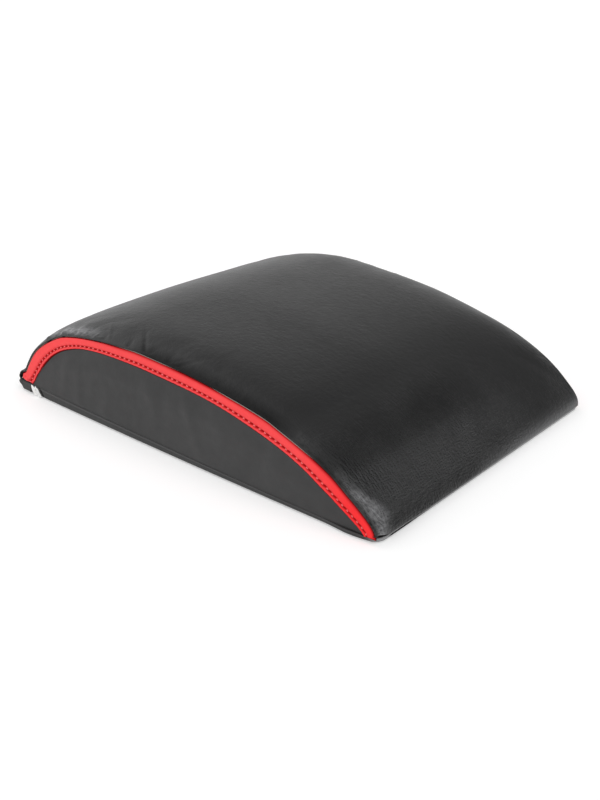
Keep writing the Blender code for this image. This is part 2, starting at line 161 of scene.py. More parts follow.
def onArch(length, lift=0.0):
    # X, Z and outward normal of the arch's line, lifted along that normal
    x, z = (np.interp(length, outlineLengths, outline[:, k]) for k in (0, 1))
    across, up = (np.interp(length, outlineLengths, tangents[:, k]) for k in (0, 1))
    size = np.hypot(across, up)
    normalX, normalZ = -up / size, across / size
    return x + normalX * lift, z + normalZ * lift, normalX, normalZ


def archHeight(x):
    # Height of the arch's line over x
    return np.interp(x, np.maximum.accumulate(outline[:, 0]), outline[:, 1])


# Meshes from grids of points

def gridQuads(rows, columns, wrapped=False):
    # Four corners of each cell of a grid; wrapped closes the columns into rings
    i = np.arange(rows - 1)[:, None]
    j = np.arange(columns if wrapped else columns - 1)[None, :]
    after = (j + 1) % columns
    corners = (i * columns + j, (i + 1) * columns + j, (i + 1) * columns + after, i * columns + after)
    return asPoints(*corners).reshape(-1, 4)


def upNormals(points):
    # Unit cross product of a grid's steps along the rows and the columns, turned to look up on the whole
    normals = np.cross(np.gradient(points, axis=0), np.gradient(points, axis=1))
    normals = normals / np.maximum(np.linalg.norm(normals, axis=-1, keepdims=True), 1e-12)
    return normals * np.sign(normals[..., 2].sum())


def meshPiece(name, points, quads, triangles, uv=None):
    # Mesh object with its faces turned outwards by the sign of its volume
    points = np.asarray(points, float).reshape(-1, 3)
    quads = np.asarray(quads, int).reshape(-1, 4)
    triangles = np.asarray(triangles, int).reshape(-1, 3)
    halves = np.concatenate([quads[:, [0, 1, 2]], quads[:, [0, 2, 3]], triangles])
    a, b, c = (points[halves[:, k]] for k in range(3))
    if np.einsum("ij,ij->i", a, np.cross(b, c)).sum() < 0:
        quads, triangles = quads[:, ::-1], triangles[:, ::-1]
    corners = np.concatenate([quads.ravel(), triangles.ravel()])
    starts = np.concatenate([np.arange(len(quads)) * 4, 4 * len(quads) + np.arange(len(triangles)) * 3])
    mesh = bpy.data.meshes.new(name)
    mesh.vertices.add(len(points))
    mesh.vertices.foreach_set("co", points.astype(np.float32).ravel())
    mesh.loops.add(len(corners))
    mesh.loops.foreach_set("vertex_index", corners.astype(np.int32))
    mesh.polygons.add(len(starts))
    mesh.polygons.foreach_set("loop_start", starts.astype(np.int32))
    mesh.update(calc_edges=True)
    if uv is not None:
        layer = mesh.uv_layers.new(name="clothMetres")
        flat = np.asarray(uv, float).reshape(-1, 2)[corners]
        layer.data.foreach_set("uv", flat.astype(np.float32).ravel())
    mesh.shade_smooth()
    item = bpy.data.objects.new(name, mesh)
    scene.collection.objects.link(item)
    return item


def tubePiece(name, rings, ringUv=None):
    # Rings of points carried along a path, closed at both ends by a fan round the ring's middle
    count, sides = rings.shape[:2]
    points = np.concatenate([rings.reshape(-1, 3), rings[[0, -1]].mean(axis=1)])
    j = np.arange(sides)
    first = np.stack([np.full(sides, count * sides), j, (j + 1) % sides], axis=1)
    last = np.stack([np.full(sides, count * sides + 1), (count - 1) * sides + (j + 1) % sides,
                     (count - 1) * sides + j], axis=1)
    uv = None
    if ringUv is not None:
        uv = np.concatenate([ringUv.reshape(-1, 2), ringUv[[0, -1]].mean(axis=1)])
    return meshPiece(name, points, gridQuads(count, sides, wrapped=True), np.concatenate([first, last]), uv)


def shellPiece(name, outer, inner, every, uv):
    # A fine outer grid and an inner one with every few rows and columns, joined round the rim by fans
    rows, columns = outer.shape[:2]
    innerRows, innerColumns = inner.shape[:2]
    offset = rows * columns
    quads = np.concatenate([gridQuads(rows, columns), offset + gridQuads(innerRows, innerColumns)[:, ::-1]])
    fine, coarse = rimLoop(rows, columns), offset + rimLoop(innerRows, innerColumns)
    step = np.arange(every)
    k = np.arange(len(coarse))
    at = k[:, None] * every + step
    nearer = np.where(step < every // 2, k[:, None], (k[:, None] + 1) % len(coarse))
    fans = np.stack([fine[(at + 1) % len(fine)], fine[at], coarse[nearer]], axis=-1).reshape(-1, 3)
    ties = np.stack([fine[k * every + every // 2], coarse, coarse[(k + 1) % len(coarse)]], axis=1)
    points = np.concatenate([outer.reshape(-1, 3), inner.reshape(-1, 3)])
    uvs = np.concatenate([uv.reshape(-1, 2), uv[::every, ::every].reshape(-1, 2)])
    return meshPiece(name, points, quads, np.concatenate([fans, ties]), uvs)


def rimLoop(rows, columns):
    # Point numbers once round the border of a grid
    index = np.arange(rows * columns).reshape(rows, columns)
    return np.concatenate([index[:-1, 0], index[-1, :-1], index[:0:-1, -1], index[0, :0:-1]])


def spacedBy(density, low, high, count):
    # Places from low to high, closer together where the density is high
    fine = np.linspace(low, high, 2000)
    share = np.concatenate([[0], np.cumsum((density(fine[1:]) + density(fine[:-1])) / 2)])
    return np.interp(np.linspace(0, share[-1], count), share, fine)


def bezier(turns, *controls):
    # Cubic Bezier of four control points, each a pair of arrays
    weights = ((1 - turns) ** 3, 3 * turns * (1 - turns) ** 2, 3 * turns ** 2 * (1 - turns), turns ** 3)
    return [sum(weight * control[k] for weight, control in zip(weights, controls)) for k in (0, 1)]


def shadeBy(item, values):
    # Painted light (over 0) and painted shade (under 0) on a vinyl piece, point by point, kept in its shade
    # attribute
    shade = item.data.attributes.new("shade", "FLOAT", "POINT")
    values = np.concatenate([np.ravel(values), np.zeros(len(item.data.vertices) - np.size(values))])
    shade.data.foreach_set("value", values.astype(np.float32))


def dress(item, material, slot, *replaced, body="mat"):
    item.data.materials.clear()
    item.data.materials.append(material)
    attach(item, body)
    if replaced:
        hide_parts(*replaced)


# Shader nodes

def connect(tree, socket, value):
    # Feeds a socket from another one, or sets it to a plain value
    if isinstance(value, bpy.types.NodeSocket):
        tree.links.new(value, socket)
    else:
        socket.default_value = value


def shaderNode(tree, kind, **values):
    # A node's inputs go by name or by number, as i0; names of its settings end in an underscore
    made = tree.nodes.new("ShaderNode" + kind)
    for name, value in values.items():
        if name.endswith("_"):
            setattr(made, name[:-1], value)
        elif name[0] == "i" and name[1:].isdigit():
            connect(tree, made.inputs[int(name[1:])], value)
        else:
            connect(tree, made.inputs[name], value)
    return made


def calc(tree, operation, *values):
    # Outcome of a Math node
    numbered = {"i" + str(number): value for number, value in enumerate(values)}
    return shaderNode(tree, "Math", operation_=operation, **numbered).outputs[0]


def remap(tree, value, low, high, newLow, newHigh):
    # Lays a value's run from low to high over another run, held at both ends
    return shaderNode(tree, "MapRange", Value=value, i1=low, i2=high, i3=newLow, i4=newHigh).outputs[0]


def noise(tree, place, scale, detail, roughness=0.5):
    made = shaderNode(tree, "TexNoise", Vector=place, Scale=scale, Detail=detail, Roughness=roughness)
    return made.outputs["Fac"]


def cells(tree, place, scale):
    # Distance to the middle of the nearest cell
    return shaderNode(tree, "TexVoronoi", Vector=place, Scale=scale, feature_="F1").outputs["Distance"]


def ownMap(tree):
    # The piece's own map, in metres
    return shaderNode(tree, "UVMap", uv_map_="clothMetres").outputs["UV"]


def nodeGroup(name, inputs, outputs):
    # Empty shader group with named sockets: inputs are (name, type, default)
    tree = bpy.data.node_groups.new(name, "ShaderNodeTree")
    for label, kind, default in inputs:
        socket = tree.interface.new_socket(name=label, in_out="INPUT", socket_type="NodeSocket" + kind)
        if default is not None:
            socket.default_value = default
    for label in outputs:
        tree.interface.new_socket(name=label, in_out="OUTPUT", socket_type="NodeSocketFloat")
    return tree, tree.nodes.new("NodeGroupInput").outputs, tree.nodes.new("NodeGroupOutput").inputs


def placeGroup(tree, group, **values):
    return shaderNode(tree, "Group", node_tree_=group, **values).outputs


def vinylGrainGroup():
    # Embossed grain: cells of two sizes that rise to their borders, softened by noise. Height runs from 0 to
    # about 1
    inputs = [("Vector", "Vector", None), ("Scale", "Float", 900.0), ("Softness", "Float", 0.5)]
    tree, given, made = nodeGroup("vinyl grain", inputs, ["Height", "Pores"])
    place, scale = given["Vector"], given["Scale"]
    large = shaderNode(tree, "TexVoronoi", Vector=place, Scale=scale, feature_="SMOOTH_F1", Smoothness=0.6)
    small = cells(tree, place, calc(tree, "MULTIPLY", scale, 2.7))
    both = calc(tree, "MULTIPLY_ADD", small, 0.35, large.outputs["Distance"])
    soft = noise(tree, place, scale, 3.0, 0.6)
    mixed = shaderNode(tree, "Mix", data_type_="FLOAT", i0=given["Softness"], i2=both, i3=soft)
    connect(tree, made["Height"], mixed.outputs[0])
    # Pores: low in the middle of each cell; the vinyl is darkened there, a painted shade in the grain's
    # hollows
    connect(tree, made["Pores"], calc(tree, "SMOOTH_MIN", both, 0.5, 0.2))
    return tree


def mottleGroup():
    # Slow change of tone and gloss over a surface, from two sizes of noise. Tone is about 1, Gloss about 0
    inputs = [("Vector", "Vector", None), ("Scale", "Float", 18.0), ("Amount", "Float", 0.1)]
    tree, given, made = nodeGroup("mottle", inputs, ["Tone", "Gloss"])
    slow = noise(tree, given["Vector"], given["Scale"], 2.0)
    quick = noise(tree, given["Vector"], calc(tree, "MULTIPLY", given["Scale"], 9.0), 4.0)
    centred = calc(tree, "SUBTRACT", calc(tree, "ADD", slow, quick), 1.0)
    scaled = calc(tree, "MULTIPLY", centred, given["Amount"])
    connect(tree, made["Tone"], calc(tree, "ADD", scaled, 1.0))
    connect(tree, made["Gloss"], scaled)
    return tree


def weaveGroup():
    # Over and under threads: the product of two crossed sine waves. Height runs from 0 to 1
    inputs = [("Vector", "Vector", None), ("Across", "Float", 2500.0), ("Along", "Float", 2500.0)]
    tree, given, made = nodeGroup("weave", inputs, ["Height"])
    parts = shaderNode(tree, "SeparateXYZ", Vector=given["Vector"]).outputs
    along, across = (calc(tree, "SINE", calc(tree, "MULTIPLY", parts[axis], given[pitch]))
                     for axis, pitch in (("X", "Along"), ("Y", "Across")))
    product = calc(tree, "MULTIPLY", along, across)
    connect(tree, made["Height"], calc(tree, "MULTIPLY_ADD", product, 0.5, 0.5))
    return tree


grainNodes, mottleNodes, weaveNodes = vinylGrainGroup(), mottleGroup(), weaveGroup()


def newMaterial(name, **constants):
    # Material with its Principled shader's plain values set on the shader's own sockets
    material = bpy.data.materials.new(name)
    material.use_nodes = True
    tree = material.node_tree
    shader = tree.nodes["Principled BSDF"]
    for label, value in constants.items():
        shader.inputs[label.replace("_", " ")].default_value = value
    where = tree.nodes.new("ShaderNodeTexCoord")
    return material, tree, shader, where.outputs["Object"]


def tinted(tree, color, factor):
    # A colour multiplied by a changing factor
    return shaderNode(tree, "VectorMath", operation_="SCALE", i0=color, Scale=factor).outputs[0]


def finishSurface(tree, shader, color, rough, *layers):
    # Colour, roughness and a chain of bumps: each layer is (height socket, distance in metres, strength)
    connect(tree, shader.inputs["Base Color"], color)
    connect(tree, shader.inputs["Roughness"], rough)
    normal = None
    for height, distance, strength in layers:
        bump = shaderNode(tree, "Bump", Height=height, Distance=distance, Strength=strength)
        if normal:
            connect(tree, bump.inputs["Normal"], normal)
        normal = bump.outputs[0]
    connect(tree, shader.inputs["Normal"], normal)


def vinylMaterial(name, color, roughness, grainScale, grainDepth, mottle, crumple, softness=0.45,
                  specular=0.5, streaks=0.0, matteEnd=1.0, shineGoneAt=-0.8):
    # Coated fabric: fine embossed grain over a soft crumple, slow changes of tone and gloss, and the light
    # and shade painted on the piece; the painted shade also takes the shine out. The front end keeps a share
    # of its shine
    material, tree, shader, place = newMaterial(name)
    grain = placeGroup(tree, grainNodes, Vector=place, Scale=grainScale, Softness=softness)
    slow = placeGroup(tree, mottleNodes, Vector=place, Scale=14.0, Amount=mottle)
    # Darker in the grain's low pores, a painted shade
    pored = calc(tree, "MULTIPLY", slow["Tone"], remap(tree, grain["Pores"], 0.0, 0.6, 0.9, 1.04))
    # The piece's painted light and shade: its colour is scaled by one more than it, and its shine fades out
    # as the painted shade deepens
    paintedLightShade = shaderNode(tree, "Attribute", attribute_name_="shade").outputs["Fac"]
    tone = calc(tree, "MULTIPLY", pored, calc(tree, "ADD", paintedLightShade, 1.0))
    shine = remap(tree, paintedLightShade, shineGoneAt, 0.0, 0.0, specular)
    if matteEnd < 1:
        along = shaderNode(tree, "SeparateXYZ", Vector=ownMap(tree)).outputs["X"]
        shine = calc(tree, "MULTIPLY", shine, remap(tree, along, 0.33, 0.385, 1.0, matteEnd))
    connect(tree, shader.inputs["Specular IOR Level"], shine)
    layers = [(grain["Height"], grainDepth, 1.0), (noise(tree, place, 240.0, 4.0, 0.62), crumple, 1.0)]
    if streaks:
        layers.append((streakHeight(tree), streaks, 1.0))
    gloss = calc(tree, "MULTIPLY_ADD", slow["Gloss"], -0.6, roughness)
    finishSurface(tree, shader, tinted(tree, color, tone), gloss, *layers)
    return material


def streakHeight(tree):
    # Hair-fine stretch lines along the pull of the cloth, with a few across it, most at the near front, from
    # noise drawn out on the cloth's map
    own = ownMap(tree)
    lines = []
    for drawn, turn in (((150.0, 560.0, 1.0), 0.12), ((700.0, 190.0, 1.0), -0.35)):
        laid = shaderNode(tree, "Mapping", Vector=own, Rotation=(0.0, 0.0, turn), Scale=drawn)
        lines.append(noise(tree, laid.outputs[0], 1.0, 2.0, 0.6))
    patches = remap(tree, noise(tree, own, 26.0, 1.0), 0.42, 0.62, 0.55, 1.0)
    place = shaderNode(tree, "SeparateXYZ", Vector=own).outputs
    front = remap(tree, place["X"], 0.318, 0.380, 0.10, 1.9)
    near = remap(tree, place["Y"], -0.03, 0.06, 1.0, 0.25)
    strength = calc(tree, "MULTIPLY", calc(tree, "MULTIPLY", patches, front), near)
    return calc(tree, "MULTIPLY", calc(tree, "MULTIPLY_ADD", lines[1], 0.75, lines[0]), strength)


vinyls = {
    "top": {"color": (0.0095, 0.0095, 0.0098), "roughness": 0.42, "grainScale": 1100.0,
            "grainDepth": 0.00009, "mottle": 0.14, "crumple": 0.00038, "streaks": 0.0013},
    "side": {"color": (0.0248, 0.0248, 0.0250), "roughness": 0.62, "grainScale": 1500.0,
             "grainDepth": 0.00004, "mottle": 0.20, "crumple": 0.00018},
    "red": {"color": (0.90, 0.032, 0.036), "roughness": 0.50, "grainScale": 1300.0,
            "grainDepth": 0.00005, "mottle": 0.10, "crumple": 0.00022, "matteEnd": 0.1, "shineGoneAt": -0.4},
    "base": {"color": (0.026, 0.026, 0.0262), "roughness": 0.62, "grainScale": 1200.0,
             "grainDepth": 0.00007, "mottle": 0.15, "crumple": 0.00020},
}
topVinyl, sideVinyl, redVinyl, baseVinyl = (vinylMaterial(name + " vinyl", **look)
                                            for name, look in vinyls.items())


def foamMaterial():
    # Open cells: Voronoi pits of two sizes over a soft charcoal grey, darker where the bump lies low, a
    # painted shade in the pits
    material, tree, shader, place = newMaterial("foam", Specular_IOR_Level=0.2)
    both = calc(tree, "MULTIPLY_ADD", cells(tree, place, 1900.0), 0.4, cells(tree, place, 700.0))
    slow = placeGroup(tree, mottleNodes, Vector=place, Scale=25.0, Amount=0.2)
    tone = calc(tree, "MULTIPLY", slow["Tone"], remap(tree, both, 0.0, 0.9, 1.15, 0.6))
    rough = remap(tree, both, 0.0, 0.9, 0.85, 1.0)
    finishSurface(tree, shader, tinted(tree, (0.09, 0.09, 0.095), tone), rough, (both, -0.0004, 0.9))
    return material


def wovenMaterial(name, color, roughness, threads, depth, specular=0.3):
    # Plain weave on the piece's own map in metres, with fuzz that changes the tone, and darker where the
    # weave lies low, a painted shade between the threads
    material, tree, shader, place = newMaterial(name, Specular_IOR_Level=specular)
    weave = placeGroup(tree, weaveNodes, Vector=ownMap(tree), Across=threads, Along=threads)["Height"]
    slow = placeGroup(tree, mottleNodes, Vector=place, Scale=120.0, Amount=0.25)
    tone = calc(tree, "MULTIPLY", slow["Tone"], remap(tree, weave, 0.0, 1.0, 0.75, 1.15))
    gloss = calc(tree, "MULTIPLY_ADD", slow["Gloss"], -0.5, roughness)
    finishSurface(tree, shader, tinted(tree, color, tone), gloss, (weave, depth, 1.0))
    return material


def threadMaterial(name, color, roughness):
    # Twisted thread: slanting bands of ply with a soft shine, darker in the low grooves between the bands, a
    # painted shade
    material, tree, shader, place = newMaterial(name, Specular_IOR_Level=0.6)
    ply = shaderNode(tree, "TexWave", Vector=place, Scale=900.0, Distortion=1.5,
                     bands_direction_="DIAGONAL").outputs["Fac"]
    slow = placeGroup(tree, mottleNodes, Vector=place, Scale=60.0, Amount=0.3)
    tone = calc(tree, "MULTIPLY", slow["Tone"], remap(tree, ply, 0.0, 1.0, 0.7, 1.1))
    rough = remap(tree, ply, 0.0, 1.0, roughness + 0.1, roughness - 0.1)
    finishSurface(tree, shader, tinted(tree, color, tone), rough, (ply, 0.00006, 1.0))
    return material


def nylonMaterial():
    # Drawn nylon: smooth, with faint fine relief and a little dust
    material, tree, shader, place = newMaterial("zip nylon", Specular_IOR_Level=0.5)
    slow = placeGroup(tree, mottleNodes, Vector=place, Scale=90.0, Amount=0.35)
    gloss = calc(tree, "MULTIPLY_ADD", slow["Gloss"], 0.5, 0.36)
    relief = noise(tree, place, 2600.0, 1.0)
    color = tinted(tree, (0.022, 0.022, 0.024), slow["Tone"])
    finishSurface(tree, shader, color, gloss, (relief, 0.00002, 0.8))
    return material


def metalMaterial():
    # Black painted zinc: orange-peel paint, rubbed through to the metal in small patches
    material, tree, shader, place = newMaterial("zip metal", Specular_IOR_Level=0.5)
    worn = remap(tree, noise(tree, place, 420.0, 6.0, 0.65), 0.62, 0.70, 0.0, 1.0)
    paint, zinc = (0.016, 0.016, 0.017, 1), (0.42, 0.41, 0.40, 1)
    color = shaderNode(tree, "Mix", data_type_="RGBA", i0=worn, i6=paint, i7=zinc).outputs[2]
    connect(tree, shader.inputs["Metallic"], worn)
    peel = noise(tree, place, 1800.0, 2.0)
    finishSurface(tree, shader, color, remap(tree, peel, 0.3, 0.7, 0.24, 0.38), (peel, 0.00003, 0.8))
    return material


foamLook = foamMaterial()
tapeLook = wovenMaterial("zip tape", (0.016, 0.016, 0.017), 0.8, 5200.0, 0.00012)
backingLook = wovenMaterial("seam backing", (0.32, 0.28, 0.25), 0.85, 4200.0, 0.00008)
labelLook = wovenMaterial("label satin", (0.90, 0.90, 0.89), 0.45, 9000.0, 0.00004, specular=0.5)
redThread = threadMaterial("red thread", (0.98, 0.26, 0.26), 0.5)
blackThread = threadMaterial("black thread", (0.020, 0.020, 0.021), 0.45)
nylonLook = nylonMaterial()
metalLook = metalMaterial()
print("materials:", len(bpy.data.materials))

# The zip: where it runs, up the arch from the back foot and out from the arch's line
zipSizes = {
    "fromFoot": 0.0048,
    "window": 0.0045,           # half the opening between the hem and the base
    "tapeWidth": 0.0084,
    "tapeThickness": 0.0006,
    "slot": 0.0012,
    "chainHalf": 0.136,
    "coilPitch": 0.0016,
    "coilHead": 0.00032,        # from the middle of the chain
    "coilBack": 0.0026,
    "coilLow": 0.0003,          # out from the tapes
    "coilHigh": 0.0017,
    "wire": 0.00026,            # radius of the coil's nylon
    "hingeHeight": 0.00395,     # from the tapes out to the pull's hinge
}
hemLength = zipSizes["fromFoot"] + zipSizes["window"]

# Top cover
cover = {
    "crown": 0.0084,
    "crownPower": 8.5,
    "backSwell": 0.040,
    "frontSwell": 0.0055,
    "noseShare": 0.18,          # of the crown, left at the front end
    "noseRun": 0.130,
    "offFloor": 0.0027,         # the front roll ends this far above the floor, on the base's lip
    "noseLift": 0.0032,         # the near front corner stands open this far more
    "noseRise": 0.0009,         # and the edge beside it this far
    "wall": 0.0012,
    "shoulder": 0.004,          # from the side seam to where the edge starts to roll over
    "overhang": 0.0003,
    "hemRoll": 0.0009,
    "hemRise": 0.0009,
    "hemDroop": 0.0081,         # the hem closes over the ends of the zip
    "hemDroopFrom": 0.1385,
    "hemPuff": 0.0015,
    "hemStitch": 0.0030,
    "hemPitch": 0.0036,
    "bulgeCap": 0.0010,         # the most that the simulated vinyl may stand off the pattern
    "cornerRise": 0.0030,       # the padding stands up along the near edge at the front
    "cornerFrom": 0.312,
    "hemThread": 0.0026,        # length of a stitch of the hem
    "hemThreadRadius": 0.00026,
    "rows": 288,
    "columns": 220,
    "rollSteps": 12,
    "endSteps": 6,
    "every": 4,                 # the inside keeps one row and column in so many
    # How much closer the rows lie at the hem, at the front seam and over the crest, and within what reach
    "crowded": ((1.6, 0.012), (2.2, 0.016), (0.5, 0.07)),
    "crest": 0.1,
    "crowdedEdges": (2.4, 0.028),
}


coverEnd = frontFoot + arch["seamFront"] - cover["offFloor"]


def swell(length):
    # Quarter sines that let the crown rise from the hem and from the front seam, on a slow fall to the front
    back = np.clip((length - hemLength) / cover["backSwell"], 0, 1)
    front = np.clip((coverEnd - length) / cover["frontSwell"], 0, 1)
    share = cover["noseShare"] + (1 - cover["noseShare"]) * smoothStep((coverEnd - length) / cover["noseRun"])
    return np.sin(back * np.pi / 2) * np.sqrt(np.sin(front * np.pi / 2)) * share


def crownRise(length, y, half):
    # The crown less its share to a high power, so the middle is flat and the edges fall
    across = np.clip(np.abs(y) / half, 0, 1)
    return cover["crown"] * swell(length) * (1 - across ** cover["crownPower"])


def bsplineWeights(places, count):
    # Uniform cubic B-spline weights of a row of coarse values at fractional places, ends held
    base = np.floor(places).astype(int)
    t = places - base
    values = ((1 - t) ** 3 / 6, (3 * t ** 3 - 6 * t ** 2 + 4) / 6,
              (-3 * t ** 3 + 3 * t ** 2 + 3 * t + 1) / 6, t ** 3 / 6)
    weights = np.zeros((len(places), count))
    for k, value in enumerate(values):
        np.add.at(weights, (np.arange(len(places)), np.clip(base + k - 1, 0, count - 1)), value)
    return weights


foam = {"rows": 130, "columns": 97, "inset": 0.0008, "channel": 0.0038, "corner": 0.003, "tip": 0.0030}
simulation = {
    "rows": 61,
    "columns": 53,
    "frames": 20,
    "cloth": {"quality": 6, "mass": 0.3, "tension_stiffness": 15.0, "compression_stiffness": 15.0,
              "bending_stiffness": 0.5, "shrink_min": -0.004, "use_pressure": True,
              "uniform_pressure_force": 4.0, "vertex_group_mass": "seam"},
}


def simulatedBulge():
    # Blows the pinned sheet of vinyl up as cloth and returns how far each point moved out, row by row
    lengths = np.linspace(hemLength, coverEnd, simulation["rows"])
    ys = np.linspace(-halfWidth, halfWidth, simulation["columns"])
    s, y = np.meshgrid(lengths, ys, indexing="ij")
    x, z, _, _ = onArch(s, arch["wrap"] + crownRise(s, y, halfWidth))
    points = np.stack([x, y, z], axis=-1)
    mesh = bpy.data.meshes.new("cloth")
    mesh.from_pydata(points.reshape(-1, 3).tolist(), [], gridQuads(*s.shape).tolist())
    item = bpy.data.objects.new("cloth", mesh)
    scene.collection.objects.link(item)
    border = np.zeros(s.shape, bool)
    border[[0, -1]] = True
    border[:, [0, -1]] = True
    pinned = item.vertex_groups.new(name="seam")
    pinned.add(np.flatnonzero(border.ravel()).tolist(), 1.0, "REPLACE")
    cloth = item.modifiers.new("cloth", "CLOTH")
    for setting, value in simulation["cloth"].items():
        setattr(cloth.settings, setting, value)
    cloth.settings.effector_weights.gravity = 0
    cloth.point_cache.frame_start = 1
    cloth.point_cache.frame_end = simulation["frames"]
    for number in range(1, simulation["frames"] + 1):
        scene.frame_set(number)
    shaped = item.evaluated_get(bpy.context.evaluated_depsgraph_get()).to_mesh()
    moved = np.zeros(points.size, np.float32)
    shaped.vertices.foreach_get("co", moved)
    out = ((moved.reshape(points.shape) - points) * upNormals(points)).sum(axis=-1)
    scene.frame_set(1)
    bpy.data.objects.remove(item, do_unlink=True)
    print("cloth moved out by up to", round(float(np.abs(out).max()) * 1000, 2), "mm")
    return out


puckers = {
    # Each row of puckers: side, first and last place along the seam, how many, height, reach in from the seam
    "rows": (
        (-1, 0.055, 0.130, 26, 0.00150, 0.0095),
        (-1, 0.100, 0.215, 13, 0.00105, 0.021),
        (-1, 0.200, 0.330, 16, 0.00030, 0.018),
        (-1, 0.325, 0.402, 34, 0.00062, 0.017),
        (1, 0.030, 0.170, 18, 0.00050, 0.016),
        (1, 0.170, 0.380, 20, 0.00035, 0.016),
    ),
    "width": (0.0014, 0.0044),
    "slant": 0.40,
    "seed": 5,
}
forms = (
    # Broad swellings of the padding: place along, place across, reach along, reach across, height
    (0.105, -0.020, 0.050, 0.075, 0.0021),
    (0.210, -0.128, 0.050, 0.018, 0.0006),
    (0.150, 0.132, 0.060, 0.030, 0.0008),
)
seams = {
    # In millimetres: lengths along the arch, and how far in from its line the band's outer edge and hem lie
    -1: ((0, 0.5, 12.3), (15, 0.35, 12.3), (30, 0.35, 13.4), (42, 0.3, 13.0), (60, 0.1, 11.2),
         (78, -0.5, 10.0), (95, 0.6, 9.9), (123, 1.75, 11.0), (145, 1.65, 11.75), (168, 0.45, 11.95),
         (200, 0.75, 12.4), (250, 0.55, 11.85), (280, -0.1, 12.3), (298, -0.65, 12.5), (315, 0.2, 12.6),
         (340, 0.5, 13.3), (358, 0.55, 14.35), (377, 1.5, 13.8), (390, 0.8, 12.2), (404, 0.4, 10.3),
         (420, 0.4, 9.4)),
    1: ((0, 0.35, 12.3), (90, 0.1, 12.2), (123, -0.3, 11.8), (150, -0.85, 11.3), (176, -0.25, 11.8),
        (200, 0.3, 12.4), (240, 0.35, 12.4), (276, 0.85, 12.8), (293, 0.8, 12.8), (312, 0.2, 12.3),
        (330, -0.3, 12.0), (358, -0.55, 11.6), (380, -0.4, 11.8), (404, 0.15, 10.8), (420, 0.35, 9.8)),
}


def seamInset(side, length, share):
    # Inset of a line of the band, at a share of its width from the outer edge
    table = np.array(seams[side])
    outer, hem = (throughPoints(table[:, [0, k]], length) for k in (1, 2))
    return outer + (hem - outer) * share


def seamDrop(s, y):
    # How far a side seam lies under its even line, spread over the padding beside it
    drop = np.where(y < 0, seamInset(-1, s, 0), seamInset(1, s, 0)) - 0.00035
    return drop * bell(halfWidth - np.abs(y), 0.030)


def formField(s, y):
    # Broad swellings, with a low ridge behind the near edge at the front
    inward = halfWidth + y
    ridge = rise(s, cover["cornerFrom"], 0.050) * smoothStep((coverEnd - s) / 0.030)
    ridge = ridge * bell(np.maximum(inward - 0.013, 0), 0.036)
    return cover["cornerRise"] * ridge + sum(height * bell(s - place, along) * bell(y - where, across)
                                             for place, where, along, across, height in forms)


paintedLight = {
    # Stretches along the arch: start, length of the rise, end, length of the fall
    "crestRun": (0.045, 0.020, 0.105, 0.030),
    "foldRun": (0.366, 0.014, 0.388, 0.016),
    "darkRun": (0.080, 0.040, 0.300, 0.040),
    "seamShadeRun": (0.145, 0.040, 0.300, 0.035),
    # The painted highlight strip at the near front corner: starts and lengths of its rise, of its turn
    # inwards and of its tip;
    # then how far in it lies and how wide it is, at first and what the turn and the tip add
    "cornerRise": (0.352, 0.036),
    "cornerTurn": (0.375, 0.030),
    "cornerTip": (0.400, 0.012),
    "cornerPlace": (0.0034, 0.0066, -0.0036),
    "cornerWidth": (0.0036, 0.0044, -0.0028),
    # How much lighter each painted highlight is
    "corner": 19.0,
    "crest": 12.0,              # beside the near seam
    "crestMiddle": 1.4,         # and this many times more at its middle
    "top": 1.6,                 # over the whole crest
    "fold": 0.9,                # across the last fold before the front edge
    "farFront": 4.2,
    # How much darker the painted shade makes the others
    "near": 0.14,
    "valley": 0.33,             # behind the fold
    "seamShade": 0.55,               # beside the near seam
    "roll": 0.35,               # over the front edge
    "grooves": 0.8,
    "frontGroove": 0.85,        # share of the groove at the near front corner
    "crestGroove": 0.7,
}


